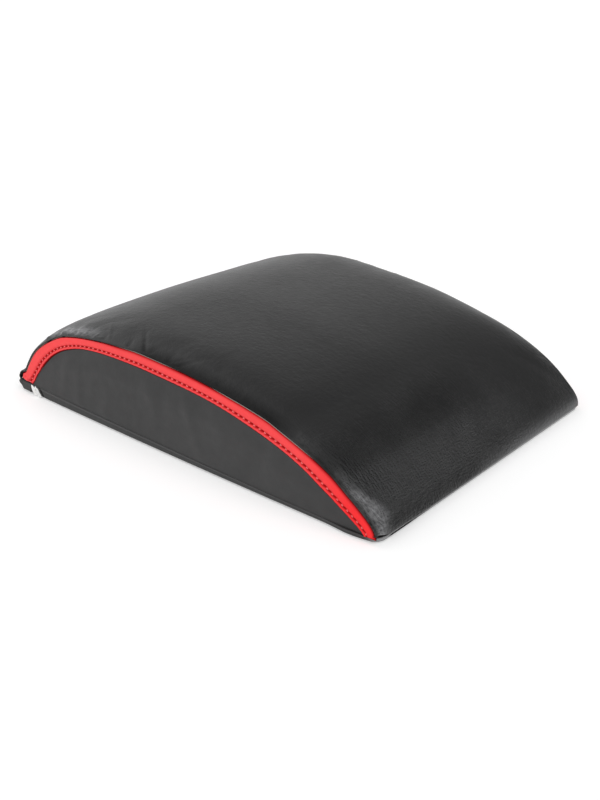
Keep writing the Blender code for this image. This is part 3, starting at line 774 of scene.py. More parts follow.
def coverShade(s, y):
    # Painted highlights in spots at the near front corner, beside the crest's near seam and on the last fold,
    # and evenly on the crest and the far front edge; painted shade beside the rest of the near seam, behind
    # the fold, over the near front edge and in the seam's grooves; painted black shadow in the tucked edges
    inward, toEnd = halfWidth + y, coverEnd - s
    spots = 0.62 + 0.38 * np.sin(s * 900 + 2.2 * np.sin(y * 640)) * np.sin(y * 1150 + 1.6 * np.sin(s * 520))
    turn, tip = (rise(s, *paintedLight[part]) for part in ("cornerTurn", "cornerTip"))
    place, width = (first + turned * turn + tipped * tip
                    for first, turned, tipped in (paintedLight["cornerPlace"], paintedLight["cornerWidth"]))
    corner = rise(s, *paintedLight["cornerRise"]) ** 2 * bell(inward - place, width)
    crest = stretch(s, *paintedLight["crestRun"])
    groove = paintedLight["frontGroove"] * rise(s, 0.335, 0.060) * bell(inward - 0.0004, 0.0019)
    groove = np.maximum(groove, paintedLight["crestGroove"] * crest * bell(inward, 0.0013))
    crest = crest * bell(inward - 0.0062, 0.0048) * (1 + paintedLight["crestMiddle"] * bell(s - 0.088, 0.018))
    fold = paintedLight["fold"] * stretch(s, *paintedLight["foldRun"]) * smoothStep((0.09 - y) / 0.06)
    dark = paintedLight["near"] * smoothStep((0.01 - y) / 0.05) * stretch(s, *paintedLight["darkRun"])
    dark = dark + paintedLight["valley"] * bell(s - 0.353, 0.020) * smoothStep((0.05 - y) / 0.06)
    dark = np.maximum(dark, paintedLight["seamShade"] * stretch(s, *paintedLight["seamShadeRun"]) * bell(inward, 0.010))
    shade = (paintedLight["corner"] * corner + paintedLight["crest"] * crest + fold) * spots - dark
    shade = shade + paintedLight["farFront"] * rise(y, -0.030, 0.110) * bell(toEnd - 0.002, 0.0065)
    shade = shade + paintedLight["top"] * bell(s - 0.085, 0.030)
    rolled = bell(toEnd - 0.004, 0.008) * smoothStep((0.02 - y) / 0.05)
    shade = shade - paintedLight["roll"] * rolled * (1 - corner)
    shade = shade * (1 - groove) - paintedLight["grooves"] * groove
    # The tucked edges are painted black, a painted shadow
    tucked = cover["rollSteps"] // 3
    black = rise(s, 0.050, 0.020)
    for hidden in (slice(None, tucked), slice(-tucked, None)):
        shade[:, hidden] = -black[:, hidden]
    return shade


def puckerField(s, y):
    # Sum of narrow ridges and dips that start at a side seam and die out inwards
    numbers = np.random.default_rng(puckers["seed"])
    total = np.zeros(s.shape)
    for side, first, last, count, height, reach in puckers["rows"]:
        inward = halfWidth - side * y
        for k in range(count):
            place = numbers.uniform(first, last)
            width = numbers.uniform(*puckers["width"])
            span = reach * numbers.uniform(0.5, 1.2)
            tilt = numbers.normal(0, puckers["slant"])
            size = height * numbers.uniform(0.35, 1.0) * numbers.choice([-1.0, -1.0, 1.0])
            line = s - place - tilt * inward
            fade = smoothStep(inward / (0.15 * span)) * np.exp(-(inward / span) ** 2 * 2)
            total += size * fade * bell(line, width)
    return total


def coverGrid():
    # Points and map of the cover: rows along the arch with a rolled hem at each end, columns across
    # with the edges rolled over a shoulder into the side seams
    roll, high = cover["hemRoll"], cover["hemRise"]
    places = (hemLength, coverEnd, cover["crest"])
    density = lambda s: sum((more * bell(s - at, reach)
                             for at, (more, reach) in zip(places, cover["crowded"])), 1.0)
    rows = spacedBy(density, hemLength + roll, coverEnd - roll, cover["rows"] + 1)
    angles = np.linspace(0, math.radians(150), cover["endSteps"] + 1)[1:]
    rowS = np.concatenate([(hemLength + roll - roll * np.sin(angles))[::-1], rows,
                           coverEnd - roll + roll * np.sin(angles)])
    tuck = -roll * (1 - np.cos(angles))
    rowLift = np.concatenate([tuck[::-1], np.zeros(len(rows)), tuck])
    fromHem = rowS - hemLength
    rowLift += high * (1 - smoothStep((fromHem - 0.0025) / 0.004))
    rowLift -= 0.0005 * bell(fromHem - cover["hemStitch"], 0.0008)

    edge = halfWidth - cover["shoulder"]
    more, reach = cover["crowdedEdges"]
    crowd = lambda y: 1 + more * bell(halfWidth - np.abs(y), reach)
    main = spacedBy(crowd, -edge, edge, cover["columns"] + 1)
    s = rowS[:, None]
    nearY, nearH = coverRoll(s, edge, -1)
    farY, farH = coverRoll(s, edge, 1)
    flat = np.broadcast_to(main, (len(rowS), len(main)))
    y = np.concatenate([-nearY[:, ::-1], flat, farY], axis=1)
    h = np.concatenate([nearH[:, ::-1], crownRise(s, flat, halfWidth) - seamDrop(s, flat), farH], axis=1)
    droop = smoothStep((np.abs(y) - cover["hemDroopFrom"]) / 0.009)
    grid = s - cover["hemDroop"] * droop * (1 - smoothStep(fromHem / 0.022))[:, None]
    opened = (cover["noseLift"] * smoothStep((-0.136 - y) / 0.012)
              + cover["noseRise"] * smoothStep((-0.09 - y) / 0.04))
    grid = grid - opened * smoothStep((s - coverEnd + 0.014) / 0.014)
    puff = cover["hemPuff"] * droop * (y < 0) * bell(fromHem - 0.0027, 0.0028)[:, None]
    x, z, _, _ = onArch(grid, arch["wrap"] + h + rowLift[:, None] + puff)
    return asPoints(x, y, z), np.broadcast_to(s, y.shape), y


def coverRoll(s, edge, side):
    # Places across and heights of the rolled edge of each row: one cubic over the shoulder and one tucked in
    power = cover["crownPower"]
    high = crownRise(s, edge, halfWidth) - seamDrop(s, side * edge)
    slope = -cover["crown"] * swell(s) * power / halfWidth * (edge / halfWidth) ** (power - 1)
    reach = 0.0023 / np.hypot(1, slope)
    drop = seamInset(side, s, 0) - 0.00035
    out, low = halfWidth + cover["overhang"], -0.0007 - drop
    tucked = (halfWidth - 0.0013, 0.00015 - arch["wrap"] - drop)
    turns = np.linspace(0, 1, cover["rollSteps"] * 2 // 3 + 1)[1:][None, :]
    lastTurns = np.linspace(0, 1, cover["rollSteps"] // 3 + 1)[1:][None, :]
    over = bezier(turns, (edge, high), (edge + reach, high + slope * reach), (out, low + 0.0010), (out, low))
    under = bezier(lastTurns, (out, low), (out, low - 0.00045), (tucked[0] + 0.0009, tucked[1]), tucked)
    rows = [[np.broadcast_to(part[k], (len(s), part[0].shape[1])) for part in (over, under)] for k in (0, 1)]
    return [np.concatenate(parts, axis=1) for parts in rows]


def makeTopCover():
    # The drawn surface lifted along its normals by the simulated bulge, the broad forms and the puckers
    points, s, y = coverGrid()
    rows, columns = simulation["rows"], simulation["columns"]
    bulge = simulatedBulge()
    bulge = cover["bulgeCap"] * np.tanh(bulge / max(np.abs(bulge).max() * 0.6, 1e-9))
    rowPlace = (s[:, 0] - hemLength) / (coverEnd - hemLength) * (rows - 1)
    columnPlace = (y[0] / halfWidth + 1) / 2 * (columns - 1)
    across = bsplineWeights(np.clip(columnPlace, 0, columns - 1.001), columns)
    along = bsplineWeights(np.clip(rowPlace, 0, rows - 1.001), rows)
    inward = halfWidth - np.abs(y)
    held = smoothStep(inward / 0.006) * rise(s, hemLength, 0.008) * smoothStep((coverEnd - s) / 0.006)
    free = smoothStep((coverEnd - s) / 0.004) * rise(s, hemLength, 0.012)
    lift = (along @ bulge @ across.T) * held + formField(s, y) * smoothStep(inward / 0.010)
    lift += puckerField(s, y) * smoothStep((inward + 0.0003) / 0.0025) * free
    outer = points + upNormals(points) * lift[..., None]
    inner = (outer - upNormals(outer) * cover["wall"])[::cover["every"], ::cover["every"]]
    piece = shellPiece("vinyl_top_cover", outer, inner, cover["every"], np.stack([s, y], axis=-1))
    shadeBy(piece, coverShade(s, y))
    dress(piece, topVinyl, "top_vinyl", "top_cover")


def makeFoamPad():
    # The same arch drawn in a little under the vinyl, with the zip's channel; rings run from the arch down
    # to an even row along the floor
    low = -seamBack + baseTop + 0.0006
    floor = baseTop + 0.0004
    crowd = lambda v: 1 + 2 * bell(v - hemLength, 0.012) + 2 * bell(v - frontFoot, 0.012)
    s = spacedBy(crowd, low, frontFoot, foam["rows"])
    half = foamHalf - foam["inset"]
    share = np.linspace(-1, 1, foam["columns"])
    across = np.sign(share) * (1 - (1 - np.abs(share)) ** 1.5) * half
    grid, y = np.meshgrid(s, across, indexing="ij")
    reach = zipSizes["slot"] / 2 + zipSizes["tapeWidth"] + 0.0008
    channel = foam["channel"] * (1 - smoothStep((np.abs(grid - zipSizes["fromFoot"]) - reach) / 0.0010))
    corner = foam["corner"] * np.clip(1 - (half - np.abs(y)) / foam["corner"], 0, 1) ** 2
    tip = foam["tip"] * smoothStep((grid - frontFoot + 0.006) / 0.005)
    x, z, _, _ = onArch(grid, crownRise(grid, y, foamHalf) - foam["inset"] - channel - corner - tip)
    top = asPoints(x, y, np.maximum(z, floor))
    line = top[:, 0, 0]
    under = line[0] + (line[-1] - line[0]) * (s - s[0]) / (s[-1] - s[0])
    bottom = asPoints(under[:, None], across[::-4][None, :], floor)
    piece = tubePiece("foam_pad", np.concatenate([top, bottom], axis=1))
    dress(piece, foamLook, "foam", "foam_core")


# Side panels and the base
sides = {
    "bulge": 0.0032,
    "low": 0.9,                 # share of the bulge at the floor
    "clear": 0.014,             # flat under the band
    "wall": 0.0012,
    "rows": 240,
    "columns": 72,
    "every": 4,
    "creases": 26,
    "creaseHeight": 0.00120,
    "seed": 11,
    "allowance": 0.012,         # of the flat panel's height, above and below its seams
}


def sideBulge(x, z):
    # How far a side stands out: a half sine along, more just above the floor, nothing under the band
    along = np.sin(np.pi * np.clip((x - backFoot) / archLength, 0, 1)) ** 0.6
    up = sides["low"] + (1 - sides["low"]) * smoothStep(z / 0.020)
    return sides["bulge"] * along * up * smoothStep((archHeight(x) - sides["clear"] - z) / 0.016)


def sideCreases(x, z, seed):
    # Broad low ridges of the slack sheet, each a bell across a slanting line and along it
    numbers = np.random.default_rng(seed)
    total = np.zeros(x.shape)
    for _ in range(sides["creases"]):
        place = backFoot + archLength * numbers.uniform(0.05, 0.9)
        height = archHeight(np.array(place)) * numbers.uniform(0.1, 0.75)
        angle = numbers.uniform(1.1, 2.1)
        along = (x - place) * np.cos(angle) + (z - height) * np.sin(angle)
        across = (z - height) * np.cos(angle) - (x - place) * np.sin(angle)
        size = sides["creaseHeight"] * numbers.uniform(-1, 1)
        total += (size * bell(across, numbers.uniform(0.004, 0.011))
                  * bell(along, numbers.uniform(0.012, 0.04)))
    return total


def makeSidePanel(name, side, node):
    # Grid from the base seam up to the arch over each x, with x crowded towards both ends
    turns = np.linspace(0, np.pi, sides["rows"] + 1)
    first, last = outline[:, 0].min() + 0.0006, outline[:, 0].max() - 0.0006
    x = first + (last - first) * (1 - np.cos(turns)) / 2
    low = seamHeight(x) - 0.0004
    high = np.maximum(archHeight(x) - 0.0002, low + 0.0006)
    share = np.linspace(0, 1, sides["columns"] + 1)
    grid = x[:, None]
    z = low[:, None] + (high - low)[:, None] * share
    edge = smoothStep((z - low[:, None]) / 0.004) * smoothStep((high[:, None] - z - 0.010) / 0.010)
    out = sideBulge(grid, z) + sideCreases(np.broadcast_to(grid, z.shape), z, sides["seed"] + side) * edge
    out -= 0.0003 * (1 - smoothStep((z - low[:, None]) / 0.0008))
    outer = asPoints(grid, side * (panelFace + out), z)
    inner = outer[::sides["every"], ::sides["every"]] - np.array([0, side * sides["wall"], 0])
    piece = shellPiece(name, outer, inner, sides["every"], asPoints(grid, z))
    dress(piece, sideVinyl, "side_vinyl", node)


base = {
    "cornerRadii": (0.0040, 0.0036, 0.0036, 0.0105),     # far front, far back, near back, near front
    "nearCorner": 0.0015,       # how far the near side swells behind its front corner
    "foot": 0.0018,             # radius of the fold under the edge
    "thickness": 0.0015,
    "bead": 0.00055,
    "foldHighlight": 0.9,              # painted highlight: how much lighter the fold of the seam is painted
    "tab": 0.0011,              # how proud the folded corner tabs stand
    "tabLength": 0.0105,
    "tuck": 0.0020,             # depth of the tuck past the label
    "tuckPlace": 0.0218,
    "tuckSlant": 0.0060,
    "frontReach": 0.0025,
    "lip": 8.5,                 # painted reflection: how much lighter the front lip is painted
    "zipBump": 0.0032,          # the ends of the zip fold out under the hem
    "longPoints": 400,
    "shortPoints": 150,
    "cornerPoints": 10,
    # Places of the rings: insets under the mat, shares of the seam's height, insets and shares over the seam,
    # and insets on the inside
    "underRings": (0.100, 0.050, 0.020, 0.008),
    "wallRings": (0.30, 0.45, 0.60, 0.72, 0.80, 0.86, 0.91, 0.955, 0.985),
    "topRings": ((0.0003, 1.0), (0.0008, 1.0), (0.0011, 0.97), (0.0012, 0.6)),
    "insideRings": (0.003, 0.020, 0.060, 0.100),
}


def baseLoop(inset):
    # Rounded rectangle drawn in by an inset: points and outward normals, as whole arrays
    halfX, halfY = (baseHigh.x - baseLow.x) / 2, (baseHigh.y - baseLow.y) / 2
    middleX = (baseHigh.x + baseLow.x) / 2
    signs = ((1, 1), (-1, 1), (-1, -1), (1, -1))
    radii = [max(radius - inset, 0.0002) for radius in base["cornerRadii"]]
    centres = [np.array([signX * (halfX - inset - radius), signY * (halfY - inset - radius)])
               for (signX, signY), radius in zip(signs, radii)]
    points, normals = [], []
    for number in range(4):
        turns = (number + np.linspace(0, 1, base["cornerPoints"])) * np.pi / 2
        normal = np.stack([np.cos(turns), np.sin(turns)], axis=1)
        corner = centres[number] + normal * radii[number]
        following = (number + 1) % 4
        stop = centres[following] + normal[-1] * radii[following]
        count = (base["longPoints"], base["shortPoints"])[number % 2]
        shares = (1 - np.cos(np.linspace(0, np.pi, count + 1)[1:-1])) / 2
        points += [corner, corner[-1] + (stop - corner[-1]) * shares[:, None]]
        normals += [normal, np.broadcast_to(normal[-1], (count - 1, 2))]
    loop = np.concatenate(points)
    return loop[:, 0] + middleX, loop[:, 1], np.concatenate(normals)


def makeBasePanel():
    # Rings from the middle of the underside out, up the folded edge with its seam bead, and back in. Each has
    # an inset, a height and whether that is a share of the seam's height
    foot, thick = base["foot"], base["thickness"]
    turns = np.linspace(0, np.pi / 2, 7)
    rings = [(inset, 0, False) for inset in base["underRings"] + (foot + 0.001,)]
    rings += [(foot * (1 - np.sin(turn)), foot * (1 - np.cos(turn)), False) for turn in turns]
    rings += [(0.0, share, True) for share in base["wallRings"]]
    rings += [(inset, share, True) for inset, share in base["topRings"]]
    rings += [(0.0015, thick + 0.0006, False)]
    rings += [(inset, thick, False) for inset in base["insideRings"]]
    loops, shades = [], []
    for inset, height, relative in rings:
        x, y, normals = baseLoop(inset)
        seam = seamHeight(x)
        z = np.full(len(x), height)
        if relative:
            z = np.maximum(seam * height, foot + (seam - foot) * (height - 0.25) / 0.75)
        out = np.zeros(len(x))
        share = z / seam
        fold = bell(share - 0.88, 0.09) * (inset < 0.0007)
        front = smoothStep((normals[:, 0] - 0.2) / 0.7)
        tuck = bell(x - backFoot - base["tuckPlace"] - base["tuckSlant"] * (1 - share), 0.0011)
        if inset < 0.0017:
            onSide = smoothStep((np.abs(normals[:, 1]) - 0.6) / 0.4)
            outside = 1 - inset / 0.0017
            fromBack = x - backFoot
            out = (sideBulge(x, z) * onSide + base["bead"] * bell(share - 0.88, 0.08)) * outside
            tab = (1 - smoothStep((fromBack - base["tabLength"]) / 0.0012)) * smoothStep(share / 0.15)
            atSide = smoothStep((np.abs(y) - panelFace + 0.030) / 0.012)
            out += base["tab"] * tab * atSide * (1 - 0.35 * share)
            out -= base["tuck"] * tuck * smoothStep(share / 0.2) * onSide
            out += base["frontReach"] * front
            swollen = bell(archLength - fromBack - 0.020, 0.013) * smoothStep(-normals[:, 1]) * onSide
            out += base["nearCorner"] * swollen
            zipEnd = smoothStep((-normals[:, 0] - 0.3) / 0.5) * rise(np.abs(y), 0.1395, 0.006)
            out += base["zipBump"] * zipEnd * bell(share - 0.74, 0.36) * outside
            fold = fold * (1 - tab) * (1 - front)
        loops.append(np.stack([x + normals[:, 0] * out, y + normals[:, 1] * out, z], axis=-1))
        # Painted light and shade: a painted black shadow under the open near front corner, the front lip
        # painted lighter as a painted reflection, a painted highlight on the seam's fold, painted shade along
        # the foot of the edge, and a painted black shadow in the tuck past the label
        under = stretch(y, -0.137, 0.005, -0.112, 0.034) * (z < 0.0026)
        lip = front * rise(z, 0.0001, 0.0005) * (1 - under) * (1 + 0.3 * rise(y, 0.09, 0.03))
        dark = 0.8 * (1 - front) * (inset > 0) * bell(z, foot * 0.4) * (z > 0)
        tone = base["foldHighlight"] * fold + base["lip"] * lip - dark
        shades.append(np.where(normals[:, 1] < -0.8, tone * (1 - tuck) - 0.95 * tuck, tone - front * under))
    piece = tubePiece("vinyl_base", np.array(loops))
    shadeBy(piece, np.array(shades))
    dress(piece, baseVinyl, "base_vinyl", "base_panel")


# Red bands along both side seams
band = {
    "width": 0.0125,
    "cut": 0.0165,              # width of the strip before its edges are folded
    "cutRise": 0.0023,          # the back end is cut off slanting
    "tongue": 0.0036,           # the front end is rounded off by this much
    "edge": 0.0007,             # radius of the folded edges
    "dome": 0.00014,
    "stitchLine": 0.0091,       # from the outer edge
    "dip": 0.00045,             # along the whole row of stitches
    "dipReach": 0.00075,
    "pitch": 0.0051,
    "dimple": 0.00055,          # between two stitches
    "dimpleReach": 0.0012,
    "dimplePower": 0.4,
    "scallop": 0.00006,
    "shadow": 0.00075,          # width of the black strip beyond both folded edges, a painted shadow line
    "shadowLift": 0.0003,
    "endRound": 0.0012,         # radius of both ends
    # How dark the painted shade makes the dimples, the folded edges and the strip beside the arch's seam
    "darkDimples": 0.70,
    "darkEdges": 0.72,
    "darkSeam": 0.42,
    "frontFoot": 0.0002,        # the front end runs down over the base to here
    "stations": 1000,
    "thread": 0.0019,
    "threadRadius": 0.00030,
    "slant": 0.42,
}


def seamLimits(side, shares):
    # Lengths where each line of the band clears the base seam at the back and at the front
    lengths = np.linspace(0, frontFoot, 4000)[:, None]
    x, z, _, _ = onArch(lengths, -seamInset(side, lengths, shares))
    back = lengths < frontFoot * 0.4
    held = np.clip(shares, 0, 1)
    cut = band["cutRise"] * (1 - held) ** 1.6
    rounded = band["tongue"] * np.abs(2 * held - 1) ** 2.4
    over = z > np.where(back, seamHeight(x) + 0.0003 + cut, band["frontFoot"] + rounded)
    first = np.max(np.where(back & ~over, lengths, 0), axis=0)
    last = np.min(np.where(~back & ~over, lengths, frontFoot), axis=0)
    return first, last


def bandHeight(across, phase, fromEnd):
    # Face of the band over the panel: rounded at both edges and both ends, domed, and pulled down along
    # the stitches, most between two of them; with its painted shade, darker in the dimples, at the folded
    # edges and beside the arch's seam
    width, line = band["width"], band["stitchLine"]
    toEdge = np.minimum(across, width - across)
    round_ = np.sqrt(np.clip(1 - (1 - np.clip(toEdge / band["edge"], 0, 1)) ** 2, 0, 1))
    ends = np.sqrt(np.clip(1 - (1 - np.clip(fromEnd / band["endRound"], 0.03, 1)) ** 2, 0, 1))
    dome = band["dome"] * np.sin(np.pi * np.clip(across / line, 0, 1))
    pull = band["dip"] * bell(across - line, band["dipReach"])
    slanted = phase + 0.13 * (across - line) / 0.0006
    between = (0.5 + 0.5 * np.cos(2 * np.pi * slanted)) ** band["dimplePower"]
    pit = bell(across - line, band["dimpleReach"]) * between
    full = halfWidth - panelFace - 0.0001
    edges = band["darkEdges"] * (1 - rise(toEdge, 0.0002, 0.00045))
    seamSide = rise(phase * band["pitch"], 0.09, 0.07) * (1 - rise(across, 0.0006, 0.0020))
    shade = -np.maximum(np.maximum(band["darkDimples"] * pit, edges), band["darkSeam"] * seamSide)
    return (full + dome - pull) * round_ * ends - band["dimple"] * pit, shade


def makeTrimBand(name, side, node):
    # The profile carried along the arch, each line of it from seam to seam, and then its row of stitches
    width, line = band["width"], band["stitchLine"]
    edges = band["edge"] * (1 - np.cos(np.linspace(0, np.pi / 2, 5)))
    middle = np.linspace(edges[-1], line - 0.0016, 6)[1:]
    stitched = line + np.linspace(-0.0011, 0.0011, 9)
    hem = np.linspace(line + 0.0016, width - edges[-1], 3)
    top = np.concatenate([[-band["shadow"]], edges, middle, stitched, hem, (width - edges)[::-1],
                          [width + band["shadow"]]])
    across = np.concatenate([top, np.linspace(width - 0.0002, 0.0002, 5)])
    first, last = seamLimits(side, across / width)
    share = np.linspace(0, 1, band["stations"])
    share = share - 0.06 * np.sin(4 * np.pi * share) / (4 * np.pi)
    lineFirst, lineLast = seamLimits(side, np.array([line / width]))
    lineS = lineFirst + share * (lineLast - lineFirst)
    lineX, lineZ, _, _ = onArch(lineS, -seamInset(side, lineS, line / width))
    run = runLength(lineX, lineZ)
    count = round(run[-1] / band["pitch"])
    phase = run / run[-1] * count
    s = first + share[:, None] * (last - first)
    fromEnd = np.minimum(run, run[-1] - run)[:, None]
    height, shade = bandHeight(across[None, :], phase[:, None], fromEnd)
    height = np.maximum(height, band["shadowLift"])
    height[:, len(top):] = 0.00002
    # Painted shade at both ends of the band, and its black strips beyond the folded edges, a painted shadow
    # line
    shade = np.minimum(shade, -0.7 * (1 - smoothStep(fromEnd / 0.0010)))
    shade[:, [0, len(top) - 1]] = -1
    wave = band["scallop"] * np.cos(2 * np.pi * phase)[:, None] * smoothStep((across - line) / (width - line))
    x, z, _, _ = onArch(s, wave - seamInset(side, s, across / width))
    piece = tubePiece(name, asPoints(x, side * (panelFace + height), z), asPoints(s, across))
    shadeBy(piece, shade)
    dress(piece, redVinyl, "red_trim", node)

    middles = np.arange(count) + 0.5
    stitchS = np.interp(np.interp(middles, phase, run), run, lineS)
    sx, sz, nx, nz = onArch(stitchS, -seamInset(side, stitchS, line / width))
    lift, _ = bandHeight(np.full(count, line), middles, np.full(count, 1.0))
    centres = np.stack([sx, side * (panelFace + lift + 0.00016), sz], axis=-1)
    along = np.stack([nz, np.zeros(count), -nx], axis=-1)
    stitchRow(name + "_stitches", centres, along, [0, side, 0], band["thread"], band["threadRadius"],
              side * band["slant"], redThread, "red_trim")


def stitchRow(name, centres, along, outward, length, radius, slant, material, slot):
    # One bowed capsule for each stitch, turned a little off the row; both of its ends dive into the sheet
    along, outward = (np.broadcast_to(np.array(part, float), centres.shape) for part in (along, outward))
    rings, count = 7, 6
    t = np.linspace(-1, 1, rings)[:, None]
    turns = np.linspace(0, 2 * np.pi, count + 1)[:-1][None, :]
    thick = radius * np.sqrt(1.08 - t ** 4)
    template = asPoints(t * length / 2, thick * np.cos(turns), thick * np.sin(turns) - 1.6 * radius * t ** 2)
    caps = np.array([[-length * 0.53, 0, -1.7 * radius], [length * 0.53, 0, -1.7 * radius]])
    template = np.concatenate([template.reshape(-1, 3), caps])
    sideways = np.cross(outward, along)
    turned = along * math.cos(slant) + sideways * math.sin(slant)
    axes = np.stack([turned, np.cross(outward, turned), outward], axis=1)
    points = centres[:, None, :] + np.einsum("pk,nkc->npc", template, axes)
    size = rings * count
    quads = gridQuads(rings, count, wrapped=True)
    j = np.arange(count)
    ends = np.concatenate([np.stack([np.full(count, size), (j + 1) % count, j], axis=1),
                           np.stack([np.full(count, size + 1), size - count + j,
                                     size - count + (j + 1) % count], axis=1)])
    offsets = (np.arange(len(centres)) * len(template))[:, None, None]
    piece = meshPiece(name, points, quads[None] + offsets, ends[None] + offsets)
    dress(piece, material, slot)


def makeHemStitches():
    # A row through the cover's hem above the zip, and one through the base's edge below it
    y = np.arange(-panelFace + 0.003, panelFace - 0.002, cover["hemPitch"])
    x, z, outX, outZ = onArch(hemLength + cover["hemStitch"], arch["wrap"] + cover["hemRise"] - 0.00035)
    rows = (("hem_stitches", (x, z), (outX, outZ), "top_vinyl"),
            ("base_stitches", (baseLow.x - 0.00005, seamBack * 0.62), (-1.0, 0.0), "base_vinyl"))
    for name, place, outward, slot in rows:
        stitchRow(name, asPoints(place[0], y, place[1]), [0.0, 1.0, 0.0], [outward[0], 0.0, outward[1]],
                  cover["hemThread"], cover["hemThreadRadius"], 0.1, blackThread, slot)


backing = {
    "peeps": ((0.140, 0.190, 0.9), (0.235, 0.325, 1.0)),     # first and last place along, and share
    "fade": 0.03,
    "halfWidth": 0.00028,
    "halfDepth": 0.0004,
    "reach": 0.0010,            # how far it comes out where it peeps
    "fromEnds": 0.012,
    "steps": 500,
}


def makeRawEdge(name, side):
    # Fabric backing of the cover's seam allowance, which peeps out between band and cover in two stretches
    s = np.linspace(backing["fromEnds"], coverEnd - backing["fromEnds"], backing["steps"])[:, None]
    fade = backing["fade"]
    peep = sum(share * stretch(s, first, fade, last, fade) for first, last, share in backing["peeps"])
    x, z, nx, nz = onArch(s, 0.0002 - seamInset(side, s, 0) + 0.00035)
    turns = np.linspace(0, 2 * np.pi, 9)[:-1]
    along = np.cos(turns) * backing["halfWidth"]
    out = np.sin(turns) * backing["halfDepth"] + halfWidth - backing["reach"] + backing["reach"] * peep
    rings = asPoints(x + nx * along, side * out, z + nz * along)
    piece = tubePiece(name, rings, asPoints(s, turns * 0.0003))
    dress(piece, backingLook, "top_vinyl")


# The zip's own frame: along the run to -Y, up the back, and out from the tapes
pullHinge = next(joint for joint in frame["joints"] if joint["name"] == "pull_hinge")
zipUp = np.array(pullHinge["axis"], float)
zipOut = np.array([-zipUp[2], 0, zipUp[0]])
zipRun = np.array([0.0, -1.0, 0.0])
hinge = np.array(pullHinge["pos_m"], float)
zipOrigin = (hinge - zipOut * zipSizes["hingeHeight"]) * [1, 0, 1]


def fromZip(run, up, out):
    # Places given in the zip's frame, as points of the model
    return zipOrigin + run[..., None] * zipRun + up[..., None] * zipUp + out[..., None] * zipOut


def makeTape(name, direction, node):
    # A woven strip that follows the arch: a rounded flat profile carried across the mat, a little wavy
    near = zipSizes["fromFoot"] + direction * zipSizes["slot"] / 2
    far = near + direction * zipSizes["tapeWidth"]
    share = (1 - np.cos(np.linspace(0, np.pi, 18))) / 2
    half = zipSizes["tapeThickness"] / 2
    round_ = half * np.sin(np.pi * np.clip(share, 0.02, 0.98)) ** 0.18
    s = np.concatenate([near + (far - near) * share, near + (far - near) * share[::-1]])
    lift = np.concatenate([round_, -round_[::-1]]) - half
    y = np.linspace(-foamHalf, foamHalf, 260)[:, None]
    wave = 0.00009 * np.sin(y * 520) + 0.00006 * np.sin(y * 1310 + 1)
    ripple = wave * np.clip(np.abs(s - near) / zipSizes["tapeWidth"], 0, 1)
    x, z, _, _ = onArch(s, lift + ripple - 0.00012)
    piece = tubePiece(name, asPoints(x, y, z), asPoints(y, s))
    dress(piece, tapeLook, "zipper_tape", node)


def tubeRings(path, radius, sides, reference):
    # Circles square to the path; the reference direction is never along it
    tangent = unit(np.gradient(path, axis=0))
    first = unit(np.cross(tangent, reference))
    second = np.cross(first, tangent)
    turns = np.linspace(0, 2 * np.pi, sides + 1)[:-1][None, :, None]
    radius = np.broadcast_to(radius, len(path))[:, None, None]
    return path[:, None] + radius * (np.cos(turns) * first[:, None] + np.sin(turns) * second[:, None])


def makeCoil(name, direction, node):
    # One nylon wire wound as a flattened helix round a cord: a superellipse loop that moves on by one pitch a
    # turn
    pitch, wire = zipSizes["coilPitch"], zipSizes["wire"]
    turns = int(2 * zipSizes["chainHalf"] / pitch) - 1
    t = np.linspace(0, turns, turns * 10 + 1)
    start = -turns * pitch / 2 + direction * pitch / 4
    angle = 2 * np.pi * t
    flat = lambda wave: np.sign(wave) * np.abs(wave) ** 0.7
    head, back, low, high = (zipSizes[part] for part in ("coilHead", "coilBack", "coilLow", "coilHigh"))
    upMiddle, upHalf = (head + back) / 2, (back - head) / 2 - wire
    outMiddle, outHalf = (low + high) / 2, (high - low) / 2 - wire
    path = fromZip(start + pitch * t, direction * (upMiddle + upHalf * flat(np.cos(angle))),
                   outMiddle + outHalf * flat(np.sin(angle)))
    piece = tubePiece(name, tubeRings(path, wire, 6, zipRun))
    dress(piece, nylonLook, "zipper_nylon", node)
    run = np.linspace(-zipSizes["chainHalf"], zipSizes["chainHalf"], 170)
    core = fromZip(run, direction * upMiddle + 0 * run, outMiddle + 0 * run)
    cord = tubePiece(name + "_cord", tubeRings(core, 0.00040, 10, zipUp))
    dress(cord, blackThread, "zipper_tape")


zipMetal = {
    # Radius of the rounded edges
    "stops": 0.00025,
    "slider": 0.00018,
    "pull": 0.00022,
}


def makeMetal(part, radius, body="mat"):
    # A CAD node's mesh with its doubles merged, its flat faces joined and its sharp edges rounded
    bm = bmesh.new()
    bm.from_mesh(frame["nodes"]["zipper_" + part].data)
    bmesh.ops.remove_doubles(bm, verts=bm.verts, dist=0.000002)
    bmesh.ops.dissolve_limit(bm, angle_limit=math.radians(1), verts=bm.verts, edges=bm.edges)
    mesh = bpy.data.meshes.new("zip_" + part)
    bm.to_mesh(mesh)
    bm.free()
    item = bpy.data.objects.new("zip_" + part, mesh)
    scene.collection.objects.link(item)
    bevel = item.modifiers.new("rounding", "BEVEL")
    bevel.width = radius
    bevel.segments = 3
    bevel.limit_method = "ANGLE"
    bevel.angle_limit = math.radians(30)
    bpy.context.view_layer.update()
    rounded = bpy.data.meshes.new_from_object(item.evaluated_get(bpy.context.evaluated_depsgraph_get()))
    item.modifiers.clear()
    item.data = rounded
    rounded.shade_smooth()
    rounded.set_sharp_from_angle(angle=math.radians(40))
    dress(item, metalLook, "zipper_metal", "zipper_" + part, body=body)


